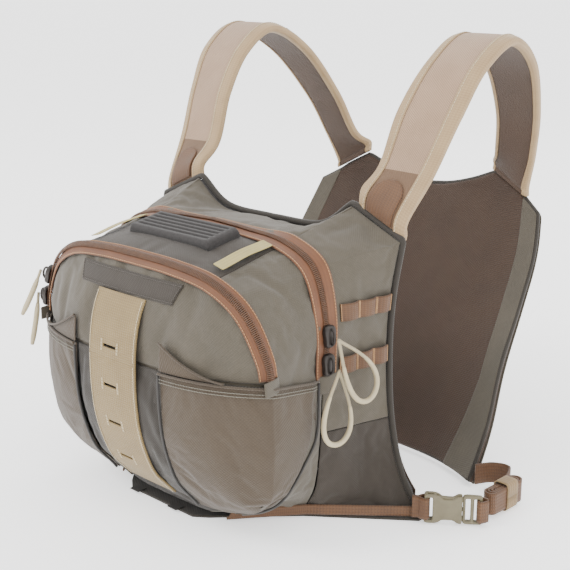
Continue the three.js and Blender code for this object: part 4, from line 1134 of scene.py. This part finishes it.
RUST_THREAD = thread("rust_thread", (150, 110, 70), (186, 146, 100))
for side, hand in ((1, "right"), (-1, "left")):
    tacks = []
    for row, height in (("upper", 191.0), ("lower", 144.0)):
        surface = gear_row(height)
        sewn_panel(f"gear_loop_{row}_{hand}_webbing", surface, 54, 6, COPPER, "pack", "belt_webbing",
                   [f"gear_loop_{row}_{hand}"], lift=UNDER_TAPE + 1.7, side=side, slack=0, swell=0,
                   height=0.2, size=18, thickness=1.3, levels=0)
        for u in (0.012, 0.355, 0.37, 0.695, 0.71, 0.988):
            line = surface(np.full(14, u), np.linspace(0.08, 0.92, 14))
            line[:, 0] += UNDER_TAPE + 2.0
            tacks.append((line * (side, 1, 1), np.tile((float(side), 0, 0), (14, 1))))
    stitches(f"gear_loop_tacks_{hand}", tacks, RUST_THREAD, "pack", 1.7)

# ------------------------------------------------------------------ yoke
# A brown mesh pad faces the wearer's back, bordered by grey cloth; a grey shell covers it outside.
def mesh_cloth(name, dark, light, cell=3.2, depth=0.4):
    """Open spacer mesh: rows of small dark eyelets in a lighter knit."""
    material, tree, surface = new_material(name, 0.85, 0.2)
    u, v = cloth_place(tree)
    wave_u = maths(tree, "SINE", maths(tree, "MULTIPLY", u, 2 * math.pi / cell))
    wave_v = maths(tree, "SINE", maths(tree, "MULTIPLY", v, 2 * math.pi / (cell * 0.72)))
    eyelet = maths(tree, "MULTIPLY_ADD", maths(tree, "MULTIPLY", wave_u, wave_v), 0.5, 0.5)
    mixed = maths(tree, "MULTIPLY_ADD", eyelet, 0.7, maths(tree, "MULTIPLY", blotches(tree, 28), 0.3))
    tint(tree, surface, mixed, dark, light)
    relief(tree, surface, eyelet, depth)
    return material


YOKE_MESH = mesh_cloth("brown_mesh", (29, 18, 9), (72, 48, 28))
yoke_half = profile([183, 180, 169, 160, 154, 142])
yoke_middle = profile([188, 213, 245, 279, 307, 330])
yoke_wrap = profile([28, 20, 17, 10, 6, 6])
yoke_horn = profile([0, 3.3, 11, 22, 7.7, -12.1], [3, 4])


def yoke_face(s, v):
    top = 246 + yoke_horn(np.abs(s))
    z = 4.9 + (top - 4.9) * v
    h = z / 246
    return np.stack([s * yoke_half(h), yoke_middle(h) - yoke_wrap(h) * s**4, z], axis=-1)


def yoke_part(half, foot, top):
    """The yoke between two heights, as wide as half of it to each side."""
    def surface(u, v):
        return yoke_face(half * (2 * u - 1), foot + (top - foot) * v)
    return surface


def yoke_piece(name, surface, columns, rows, material, nodes, thickness, lift, levels=1, seed=0.0):
    P, N, flip = on_grid(surface, columns, rows, FORWARD, lift)
    P = ruffle(P, N, 0.5, 46, seed)
    piece = link_piece(name, mesh_of(name, P, grid_faces(rows, columns, flip), cloth_uv(P)))
    return finish_piece(piece, material, "yoke", nodes, thickness, levels)


pad = yoke_piece("yoke_pad_mesh", yoke_part(0.995, 0.004, 0.996), 90, 60, YOKE_MESH,
                 ["yoke_pad"], 6.6, -0.9, seed=3.0)
for side, hand in ((1, "right"), (-1, "left")):
    def border(u, v, side=side):
        wide = 0.86 - 0.10 * np.clip(1 - v * 3.0, 0, 1)
        return yoke_face(side * (wide + (0.992 - wide) * u), 0.004 + 0.99 * v)
    yoke_piece(f"yoke_border_{hand}", border, 10, 60, SAGE, [], 1.0, -0.3, seed=2.0 + side)
yoke_piece("yoke_shell_cloth", yoke_part(1, 0.002, 0.998), 60, 40, SAGE, ["yoke_shell"],
           1.5, -7.5, seed=6.0)
rim = [yoke_face(np.array(s), np.array(v)) for s, v in
       [(-1, v) for v in np.linspace(0.006, 0.994, 50)] + [(s, 0.994) for s in np.linspace(-0.97, 0.97, 60)]
       + [(1, v) for v in np.linspace(0.994, 0.006, 50)] + [(s, 0.006) for s in np.linspace(0.97, -0.97, 50)]]
rim = np.array(rim)
rim[:, 1] += 4.0
rim[:, 0] *= 1 - 1.6 / 180
rod_piece("yoke_binding", rim, 2.2, 8, DEEP, "yoke", closed=True)

# ------------------------------------------------------------------ shoulder straps
# Each strap is a padded band from the pack's wing over the shoulder to the yoke: pale mesh on a
# brown ground, dark mesh underneath, and a tan binding stitched round both edges.
STRAP_MESH = mesh_cloth("strap_mesh", (112, 84, 60), (182, 154, 128), cell=2.6, depth=0.3)
BINDING = ribbed_webbing("tan_binding", (138, 112, 78), (172, 146, 108), rib=2.2, depth=0.12)
FIELD = weave_cloth("umber_nylon", (82, 58, 38), (118, 90, 64))
UNDERSIDE = mesh_cloth("umber_mesh", (40, 27, 17), (84, 60, 40), cell=2.6)
STRAP_FOOT, STRAP_END = (104.0, 154.0), (84.0, 127.0)
STRAP_THICK = 9.0
STRAP_SPAN = (0.03, 9.97)
STRAP_ROWS, STRAP_ROUND = 150, 64


def strap_edge(k, xs, ys):
    foot, end_x = STRAP_FOOT[k], STRAP_END[k]
    wing = 271 - 25 * (foot - 100) / 57
    end = yoke_face(np.array(end_x / 142.0), np.array(1.0))
    return outline([
        (foot, 91, wing - 1.5), (foot + 1, 94, wing + 16), (xs[0], ys[0], 304), (xs[1], ys[1], 350),
        (xs[2], 168, 391), (xs[3], 212, 413), (xs[4], 264, 388), (xs[5], 303, 338), (xs[6], 322, 294),
        (end_x + 1, end[1] + 6, end[2] + 14), (end_x, end[1] + 7, end[2] + 3),
    ])


inner_line = strap_edge(0, [106, 110, 115, 116, 114, 105, 94], [116, 135])
outer_line = strap_edge(1, [163, 172, 178, 180, 170, 153, 139], [119, 142])
STRAP_ARCH = np.array((0.0, 215.0, 260.0))


def strap_frame(t):
    """Inner edge, the way across, and the outward direction of the strap at its stations t."""
    a, b = inner_line(t), outer_line(t)
    along = (inner_line(t + 0.02) + outer_line(t + 0.02) - inner_line(t - 0.02) - outer_line(t - 0.02)) / 2
    N = np.cross(b - a, along)
    arch = (a + b) / 2 - STRAP_ARCH
    arch[..., 0] = 0
    N *= np.sign((N * arch).sum(-1, keepdims=True))
    return a, b - a, N / np.linalg.norm(N, axis=-1, keepdims=True)


def strap_skin(t, angle, grow=0.0, crown=1.0):
    """Points on the strap's rounded section; the angle runs from its outer edge over the top."""
    a, across, N = strap_frame(t)
    c, s = np.cos(angle), np.sin(angle)
    u = 0.5 + 0.5 * np.sign(c) * np.abs(c) ** 0.42
    d = -STRAP_THICK / 2 * (1 - np.sign(s) * np.abs(s) ** 0.55)
    width = np.linalg.norm(across, axis=-1, keepdims=True)
    side = across / width
    d = np.where(s > 0, d + crown * np.abs(s) ** 4, d)
    P = a + across * u[..., None] + N * d[..., None]
    return P + grow * (side * c[..., None] + N * s[..., None])


def strap_band(name, side, angles, material, nodes=(), grow=0.0, thickness=0.0):
    """Part of the strap's skin, between two angles of its section, along its whole length."""
    rows = STRAP_ROWS
    t, angle = np.meshgrid(np.linspace(*STRAP_SPAN, rows + 1), angles, indexing="ij")
    P = strap_skin(t, angle, grow)
    girth = np.concatenate([[0], np.cumsum(np.linalg.norm(np.diff(P[rows // 2], axis=0), axis=1))])
    run = np.concatenate([[0], np.cumsum(np.linalg.norm(np.diff(P[:, len(angles) // 4], axis=0), axis=1))])
    uv = np.stack(np.meshgrid(girth, run), axis=-1) * MM
    flip = side < 0
    probe = np.cross(P[1, 0] - P[0, 0], P[0, 1] - P[0, 0])
    _, across, N = strap_frame(t[0, 0])
    outward = across * np.cos(angle[0, 0]) / np.linalg.norm(across) + N * np.sin(angle[0, 0])
    if probe @ outward > 0:
        flip = not flip
    faces = grid_faces(rows, len(angles) - 1, flip)
    piece = link_piece(name, mesh_of(name, P * (side, 1, 1), faces, uv))
    return finish_piece(piece, material, None, nodes, thickness, 0)


for side, hand in ((1, "right"), (-1, "left")):
    full = np.linspace(0.0, 2 * math.pi, STRAP_ROUND + 1)
    body = strap_band(f"strap_{hand}_padding", side, full, [STRAP_MESH, UNDERSIDE, FIELD],
                      [f"strap_front_{hand}", f"strap_rear_{hand}"])
    for face in body.data.polygons:
        row, column = divmod(face.index, STRAP_ROUND)
        station = STRAP_SPAN[0] + (row + 0.5) / STRAP_ROWS * (STRAP_SPAN[1] - STRAP_SPAN[0])
        if column >= STRAP_ROUND / 2:
            face.material_index = 1
        elif station < 1.9 or 5.3 < station < 6.4 or station > 8.6:
            face.material_index = 2
    bands = [body]
    for edge, span in (("outer", (-0.95, 1.22)), ("inner", (math.pi - 1.22, math.pi + 0.95))):
        bands.append(strap_band(f"strap_{hand}_binding_{edge}", side, np.linspace(*span, 26), BINDING,
                                grow=0.9, thickness=0.8))
    seams = []
    for angle in (1.12, math.pi - 1.12):
        t = np.linspace(0.1, 9.9, 260)
        line = strap_skin(t, np.full(260, angle), 1.0)
        seams.append((line * (side, 1, 1), strap_frame(t)[2] * (side, 1, 1)))
    for piece in bands:
        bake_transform(piece)
    front_seams = [(line[:104], out[:104]) for line, out in seams]
    rear_seams = [(line[104:], out[104:]) for line, out in seams]
    stitches(f"strap_{hand}_stitching_front", front_seams, SAND_THREAD, "pack", 3.0)
    stitches(f"strap_{hand}_stitching_rear", rear_seams, SAND_THREAD, "yoke", 3.0)


def on_strap(name, side, t_range, width, material, body, nodes, lift, thickness,
             round_end=False, rows=40):
    """Webbing or a plate lying along the middle of a strap."""
    t, u = np.meshgrid(np.linspace(*t_range, rows + 1), np.linspace(-0.5, 0.5, 17), indexing="ij")
    a, across, N = strap_frame(t)
    wide = np.full_like(t, width)
    if round_end:
        w = np.clip((t_range[1] - t) / (t_range[1] - t_range[0]) / 0.3, 0, 1)
        wide = width * np.sqrt(np.clip(1 - (1 - w) ** 2.2, 0.02, 1))
    P = a + across * (0.5 + u * wide)[..., None] + N * lift
    flip = np.cross(P[0, 1] - P[0, 0], P[1, 0] - P[0, 0]) @ N[0, 0] < 0
    if side < 0:
        flip = not flip
    run = np.linspace(0, 1, rows + 1)[:, None] * np.linalg.norm(P[-1, 8] - P[0, 8])
    uv = np.stack([u * np.linalg.norm(across, axis=-1) * width, run + 0 * u], axis=-1) * MM
    piece = link_piece(name, mesh_of(name, P * (side, 1, 1), grid_faces(rows, 16, flip), uv))
    return finish_piece(piece, material, body, nodes, thickness, 0)


PLASTIC, plastic_tree, plastic_surface = new_material("black_plastic", 0.42)
tint(plastic_tree, plastic_surface, blotches(plastic_tree, 8), (24, 23, 22), (44, 42, 40))
relief(plastic_tree, plastic_surface, blotches(plastic_tree, 0.8), 0.04)
for side, hand in ((1, "right"), (-1, "left")):
    on_strap(f"strap_tab_{hand}_webbing", side, (0.34, 1.65), 0.55, COPPER, "pack",
             [f"strap_tab_{hand}"], 2.6, 1.8, round_end=True)
    on_strap(f"strap_adjuster_{hand}_webbing", side, (5.51, 6.25), 0.42, COPPER, "yoke",
             [f"strap_adjuster_{hand}"], 2.9, 1.6)
    for k, station in enumerate((5.56, 5.72, 6.2)):
        on_strap(f"strap_adjuster_{hand}_bar_{k}", side, (station - 0.035, station + 0.035), 0.6, PLASTIC,
                 "yoke", [], 3.7, 3.0, rows=6)

# ------------------------------------------------------------------ back panel and divider
# Foam with a quilted mesh face against the wearer's chest, bound to the sides, and the cloth wall
# between the two compartments.
def upright_panel(line, shrink, y, puff):
    """An upright panel inside a seam line: a patch between its foot, sides and top."""
    def surface(u, v):
        side = line(SHOULDER * v)
        side[..., 0] = np.minimum(side[..., 0], 178)
        top = mirrored_stations(line, u, SHOULDER)
        turn = np.sign(mirrored_stations(line, np.zeros((1, 1)), SHOULDER)[0, 0, 0])
        start, end = side * (turn, 1, 1), side * (-turn, 1, 1)
        foot, head = line(np.array(0.0)), line(np.array(float(SHOULDER)))
        foot = np.array((min(foot[0], 178.0), foot[1], foot[2]))
        w, h = u[..., None], v[..., None]
        bottom = foot * (turn, 1, 1) * (1 - w) + foot * (-turn, 1, 1) * w
        chord = head * (turn, 1, 1) * (1 - w) + head * (-turn, 1, 1) * w
        P = start * (1 - w) + end * w + bottom * (1 - h) + top * h - (bottom * (1 - h) + chord * h)
        P = (P - (0, 0, 110)) * (1 - shrink / 165) + (0, 0, 110)
        P[..., 2] = np.maximum(P[..., 2], 3.9)
        quilt = np.abs(np.sin(np.pi * (P[..., 2] - 12) / 62)) ** 0.5
        quilt *= np.abs(np.sin(np.pi * P[..., 0] / 90 + 1.57)) ** 0.5
        P[..., 1] = y + puff * quilt * (np.sin(np.pi * u) * np.sin(np.pi * v)) ** 0.4
        return P
    return surface


BACKWARD = (0, 1, 0)
SLEEK, sleek_tree, sleek_surface = new_material("black_piping", 0.6, 0.1)
tint(sleek_tree, sleek_surface, blotches(sleek_tree, 5), (26, 24, 22), (46, 42, 38))
relief(sleek_tree, sleek_surface, blotches(sleek_tree, 1.2), 0.1)
UPRIGHT = {"lift": 0, "outside": BACKWARD, "slack": 0, "swell": 0, "levels": 0}
sewn_panel("divider_cloth", upright_panel(main_edge, 8, ZIP_Y + 0.9, 0.0), 40, 40, TAUPE, "pack",
           "taupe_cloth", ["divider_panel"], height=0.2, thickness=1.6, **UPRIGHT)
sewn_panel("back_foam", upright_panel(rear_edge, 5, 93.3, 0.0), 40, 40, FOAM, "pack", "foam",
           ["back_foam_pad"], height=0.1, thickness=5.6, **UPRIGHT)
sewn_panel("back_mesh", upright_panel(rear_edge, 3, 95.0, 3.0), 90, 90, YOKE_MESH, "pack", "spacer_mesh",
           ["back_mesh_face"], height=0.3, thickness=1.2, **UPRIGHT)
bound = mirrored_stations(rear_edge, np.linspace(0, 1, 240), 0)
bound[:, 1] += 3.4
bound[:, 0] -= 1.2 * np.sign(bound[:, 0])
bound[:, 2] = np.maximum(bound[:, 2], 5.0)
rod_piece("back_binding", bound, 2.9, 10, DEEP, "pack")

# ------------------------------------------------------------------ trim of the front and sides
# Turned and stitched pocket tops, black piping down the pocket's side seam, the cloth in the
# flap's fold, the zip's garages, a lash strap along the foot and dark tabs on the base.
fold_cloth, _, fold_flip = on_grid(front_strip(145, 156.5, 145), 90, 12, FORWARD, FRONT_LIFT - 1.3)
fold_piece = link_piece("fold_cloth", mesh_of("fold_cloth", fold_cloth, grid_faces(12, 90, fold_flip),
                                              cloth_uv(fold_cloth)))
finish_piece(fold_piece, SAGE, None, [], 0.8, 0)
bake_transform(fold_piece)


def corner_piece(u, v):
    """The pocket's peaked inner corner, sewn to the flap above the fold."""
    z = 152.6 + (24 * (1 - u) ** 1.5 + 0.5) * v
    P = on_front(POCKET_INNER + 62 * u, z)
    P[..., 1] -= 3.4
    return P


for side, hand in ((1, "right"), (-1, "left")):
    sewn_panel(f"pocket_corner_{hand}", corner_piece, 30, 14, TAUPE, "flap", "stretch_cloth", [],
               lift=FRONT_LIFT + 1.6, side=side, outside=FORWARD, slack=0, swell=0, height=0.2)
    u = np.linspace(0, 1, 40)
    edge = corner_piece(u, 1 + 0 * u)
    edge[:, 1] += 0.2
    rod_piece(f"corner_hem_{hand}", edge * (side, 1, 1), 1.0, 8, TAUPE, "flap")
    u = np.linspace(0, 1, 90)
    edge = pocket_shape(u, 1 + 0 * u) + (0.3, -0.6, 0)
    rod_piece(f"pocket_hem_{hand}", edge * (side, 1, 1), 1.15, 8, TAUPE, "pack")
    v = np.linspace(0.02, 0.985, 90)
    for which, u in (("side", 1), ("inner", 0)):
        line = pocket_shape(u + 0 * v, v)
        rod_piece(f"piping_{which}_{hand}", line * (side, 1, 1), 1.2, 8, SLEEK, "pack")
    rows = []
    for drop in (0.965, 0.945):
        line = pocket_shape(np.linspace(0.02, 0.98, 120), np.full(120, drop))
        out = np.gradient(line, axis=0)
        out = np.stack([out[:, 1], -out[:, 0], 0 * out[:, 0]], axis=-1)
        out /= np.linalg.norm(out, axis=1, keepdims=True)
        rows.append(((line + out * 0.2) * (side, 1, 1), out * (side, 1, 1)))
    stitches(f"pocket_stitching_{hand}", rows, SAGE_THREAD, "pack", 2.6)


def garage(name, line, towards, stations, half, side, lift):
    """A short cloth cap over the end of a zip."""
    t = np.linspace(*stations, 9)
    P = []
    for one in t:
        here = line(np.array(one))
        way = towards(np.array(one)) - here
        along = line(np.array(one + 0.01)) - line(np.array(one - 0.01))
        out = np.cross(along, way)
        out *= np.sign(out @ (here - INSIDE))
        out /= np.linalg.norm(out)
        across = np.cross(out, along)
        across /= np.linalg.norm(across)
        P.append([here + across * half * w + out * (lift - 1.6 * w * w) for w in np.linspace(-1, 1, 9)])
    P = np.array(P)
    flip = np.cross(P[0, 1] - P[0, 0], P[1, 0] - P[0, 0]) @ (P[0, 0] - INSIDE) < 0
    if side < 0:
        flip = not flip
    piece = link_piece(name, mesh_of(name, P * (side, 1, 1), grid_faces(8, 8, flip), cloth_uv(P)))
    finish_piece(piece, SAGE, "pack", [], 1.2, 1)


LASH_TURN = 0.55


def lash_line(s):
    """Along the foot of the side from near its front corner, past the main seam, to the back."""
    front, main, rear = (line(np.array(0.16)) for line in (front_edge, main_edge, rear_edge))
    w, h = 0.1 + 0.9 * s / LASH_TURN, (s - LASH_TURN) / (1 - LASH_TURN)
    return np.where(s < LASH_TURN, front * (1 - w) + main * w, main * (1 - h) + rear * h)


for side, hand in ((1, "right"), (-1, "left")):
    garage(f"front_garage_{hand}", front_edge, main_edge, (2.88, 3.16), 10.0, side, 2.6)
    garage(f"main_garage_{hand}", main_edge, rear_edge, (2.64, 2.92), 13.5, side, 3.0)
    t = np.linspace(0, 1, 70)
    strap_path = lash_line(t[:, None])
    strap_path[:, 2] = 3.6
    way = np.gradient(strap_path, axis=0)
    out = np.stack([way[:, 1], -way[:, 0], 0 * t], axis=-1)
    out /= np.linalg.norm(out, axis=1, keepdims=True)
    tall = 9.5 * np.clip(t / 0.05, 0.25, 1)
    rise = np.linspace(0, 1, 5)[None, :, None] * tall[:, None, None] * np.array((0, 0, 1))
    P = (strap_path + out * 1.2)[:, None] + rise
    flip = np.cross(P[0, 1] - P[0, 0], P[1, 0] - P[0, 0]) @ out[0] < 0
    if side < 0:
        flip = not flip
    uv = np.stack([np.tile(np.linspace(0, 10, 5), (70, 1)), np.repeat(t[:, None] * 130, 5, 1)], axis=-1) * MM
    lash = link_piece(f"lash_strap_{hand}", mesh_of("lash", P * (side, 1, 1), grid_faces(69, 4, flip), uv))
    finish_piece(lash, COPPER, "pack", [], 1.2, 0)
for k, x in enumerate((-33, 20)):
    tab = rounded_plate("tab", [[(x - 6, -60), (x + 6, -60), (x + 6, -50), (x - 6, -50)]], 1.2, 0.4)
    points = tab[0] + (0, 0, 3.2)
    finish_piece(link_piece(f"base_tab_{k}", mesh_of("tab", points, tab[1], smooth=False)), SLEEK, "pack",
                 levels=0)

# ------------------------------------------------------------------ belt
# On each side a copper webbing is sewn to the pack, goes through a side-release buckle and is
# rolled up in a tan elastic keeper; its other end is sewn to the yoke.
BUCKLE, buckle_tree, buckle_surface = new_material("khaki_acetal", 0.45)
tint(buckle_tree, buckle_surface, blotches(buckle_tree, 10), (92, 84, 62), (118, 110, 86))
relief(buckle_tree, buckle_surface, blotches(buckle_tree, 0.9), 0.05)
KEEPER = ribbed_webbing("tan_elastic", (112, 88, 54), (156, 130, 88), rib=1.0, depth=0.4)
BELT_TURN = math.radians(36)
MALE_START = 33.4
BELT_SEAT = np.array((198 - 4.5 * math.sin(BELT_TURN), 77 + 4.5 * math.cos(BELT_TURN), 15.0))


def on_belt(points, side):
    """From the buckle's own drawing, along X with its width along Z, to its place on the belt."""
    x, y, z = np.asarray(points, float).T
    c, s = math.cos(BELT_TURN), math.sin(BELT_TURN)
    P = np.stack([x * c - y * s, x * s + y * c, z], axis=-1) + BELT_SEAT
    return P * (side, 1, 1)


def smooth_loop(corners, radius=1.6, steps=4):
    """A polygon with its corners rounded."""
    loop = []
    for k, corner in enumerate(corners):
        here = np.array(corner, float)
        before, after = np.array(corners[k - 1], float), np.array(corners[(k + 1) % len(corners)], float)
        reach = min(radius, np.linalg.norm(before - here) / 2.1, np.linalg.norm(after - here) / 2.1)
        a = here + (before - here) / np.linalg.norm(before - here) * reach
        b = here + (after - here) / np.linalg.norm(after - here) * reach
        for w in np.linspace(0, 1, steps + 1):
            loop.append(tuple(a * (1 - w) ** 2 + here * 2 * w * (1 - w) + b * w**2))
    return loop


def moulding(name, loops, thickness, bevel, at, side, body, nodes=()):
    """A moulded plate in the belt's drawing, centred on y = at."""
    points, faces = rounded_plate(name, loops, thickness, bevel)
    points = np.stack([points[:, 0], -points[:, 2] + at, points[:, 1]], axis=-1)
    if side < 0:
        faces = [face[::-1] for face in faces]
    piece = link_piece(name, mesh_of(name, on_belt(points, side), faces, smooth=False))
    return finish_piece(piece, BUCKLE, body, nodes, 0, 0)


def rounded_box(x0, x1, z0, z1):
    return [(x0, z0), (x1, z0), (x1, z1), (x0, z1)]


def belt_strip(name, path, side, body, nodes, thickness=1.8, high=20.0, own=True, z=0.0):
    """Webbing that follows a path in plan, with its width upright."""
    path = np.array(path, float)
    v = np.linspace(-high / 2, high / 2, 9)
    x, y = np.repeat(path[:, :1], 9, 1), np.repeat(path[:, 1:2], 9, 1)
    P = np.stack([x, y, np.tile(v, (len(path), 1)) + z], axis=-1)
    run = np.concatenate([[0], np.cumsum(np.linalg.norm(np.diff(path, axis=0), axis=1))])
    uv = np.stack([np.tile(v, (len(path), 1)), np.repeat(run[:, None], 9, 1)], axis=-1) * MM
    P = on_belt(P.reshape(-1, 3), side) if own else P.reshape(-1, 3) * (side, 1, 1)
    faces = grid_faces(len(path) - 1, 8, side < 0)
    piece = link_piece(name, mesh_of(name, P, faces, uv))
    finish_piece(piece, COPPER, body, nodes, thickness, 0)
    piece.modifiers["wall"].offset = 0
    return piece


def bar_loop(x, direction, tail):
    """Plan path of webbing round a bar of the buckle with both ends sewn together."""
    angle = np.linspace(0.5 * math.pi, -0.5 * math.pi, 9)
    half = np.stack([x + direction * -1 * (2.6 * np.cos(angle)), 5.6 * np.sin(angle)], axis=-1)
    start = [(x + direction * (3 + tail), 0.9), (x + direction * 6.5, 1.1), (x + direction * 4.2, 3.2)]
    end = [(px, -py) for px, py in start[::-1]]
    return outline([(px, py, 0) for px, py in start + [tuple(p) for p in half] + end])


for side, hand in ((1, "right"), (-1, "left")):
    half_shell = [(0, 13.5), (9, 13.5), (13, 12.2), (16, 9.4), (25, 9.6), (29, 12.6), (33, 12.9)]
    shell_loop = smooth_loop([(x, -z) for x, z in half_shell] + half_shell[::-1], 2.6)
    slot_loop = smooth_loop(rounded_box(3.2, 7.4, -10.6, 10.6), 1.0)
    for face, at in (("front", -3.0), ("rear", 3.0)):
        moulding(f"buckle_{hand}_socket_{face}", [shell_loop, slot_loop], 2.8, 0.9, at, side, "pack",
                 [f"buckle_female_{hand}"] if face == "front" else [])
    for part, box_loop in (("bar", rounded_box(0, 3.0, -13.2, 13.2)),
                           ("wall", rounded_box(7.6, 10.4, -13.0, 13.0))):
        moulding(f"buckle_{hand}_socket_{part}", [smooth_loop(box_loop, 0.9)], 6.4, 0.4, 0, side, "pack")
    start = MALE_START
    frame_loop = smooth_loop([(start, -12.6), (start + 3, -13.5), (start + 17, -13.2), (start + 17, 13.2),
                              (start + 3, 13.5), (start, 12.6)], 2.2)
    holes = [smooth_loop(rounded_box(x - 2.1, x + 2.1, -10.6, 10.6), 0.9)
             for x in (start + 4.6, start + 11.9)]
    moulding(f"buckle_{hand}_ladder", [frame_loop] + holes, 5.8, 1.3, 0, side, f"buckle_{hand}",
             [f"buckle_male_{hand}"])
    for k, z in enumerate((-1, 1)):
        arm = [(start + 1, z * 6.9), (14, z * 7.4), (9.6, z * 8.4), (10.2, z * 10.6), (14.5, z * 11.3),
               (20, z * 10.9), (26, z * 10.9), (start + 1, z * 11.2)]
        moulding(f"buckle_{hand}_prong_{k}", [smooth_loop(arm[::z], 1.4)], 4.4, 1.0, 0, side,
                 f"buckle_{hand}")
    guide = smooth_loop(rounded_box(9.8, start + 1, -1.1, 1.1), 0.5)
    moulding(f"buckle_{hand}_guide", [guide], 4.2, 0.4, 0, side, f"buckle_{hand}")
    anchor = bar_loop(1.5, -1, 9)
    belt_strip(f"belt_anchor_{hand}_webbing", anchor(np.linspace(0, 14, 70)), side, "pack",
               [f"belt_anchor_{hand}"])
    tail = bar_loop(48.9, 1, 4)
    belt_strip(f"belt_loop_{hand}_webbing", tail(np.linspace(0, 14, 70)), side, f"buckle_{hand}",
               [f"belt_loop_{hand}"])
    roll = []
    for k in range(4):
        reach, side_out = 24.4 - 1.9 * k, 6.4 - 1.9 * k
        if side_out < 0.5:
            break
        for a in np.linspace(-0.5 * math.pi, 0.5 * math.pi, 14):
            roll.append((232 + side_out * math.sin(a), 147 + reach - 6.4 + side_out * math.cos(a)))
        for a in np.linspace(0.5 * math.pi, 1.5 * math.pi, 14):
            shrink = side_out - 0.95
            roll.append((232 + shrink * math.sin(a), 147 - reach + 6.4 + shrink * math.cos(a)))
    belt_strip(f"belt_bundle_{hand}_webbing", roll, side, "pack", [f"belt_bundle_{hand}"], 1.7, 20.4,
               own=False, z=15.5)
    keeper = []
    for a in np.linspace(0, 2 * math.pi, 49):
        x, z = (np.sign(w) * abs(w) ** 0.3 for w in (math.cos(a), math.sin(a)))
        keeper.append((232 + 7.0 * x, 15.5 + 12.4 * z))
    keeper = np.array(keeper)
    width = np.linspace(-8, 8, 7)
    x, z = np.repeat(keeper[:, :1], 7, 1), np.repeat(keeper[:, 1:], 7, 1)
    P = np.stack([x, 152 + np.tile(width, (49, 1)), z], axis=-1)
    run = np.concatenate([[0], np.cumsum(np.linalg.norm(np.diff(keeper, axis=0), axis=1))])
    uv = np.stack([np.tile(width, (49, 1)), np.repeat(run[:, None], 7, 1)], axis=-1) * MM
    band = mesh_of("keeper", P * (side, 1, 1), grid_faces(48, 6, side > 0), uv)
    band = link_piece(f"belt_keeper_{hand}", band)
    finish_piece(band, KEEPER, "pack", [], 0.9, 0)
    path = outline([(186.6, 170, 0), (196, 185, 0), (212, 188, 0), (224.1, 163, 0)])(np.linspace(0, 3, 40))
    belt_strip(f"belt_link_{hand}_webbing", path[:, :2], side, "yoke", [f"belt_link_{hand}"], 1.8, 20.0,
               own=False, z=13.5)
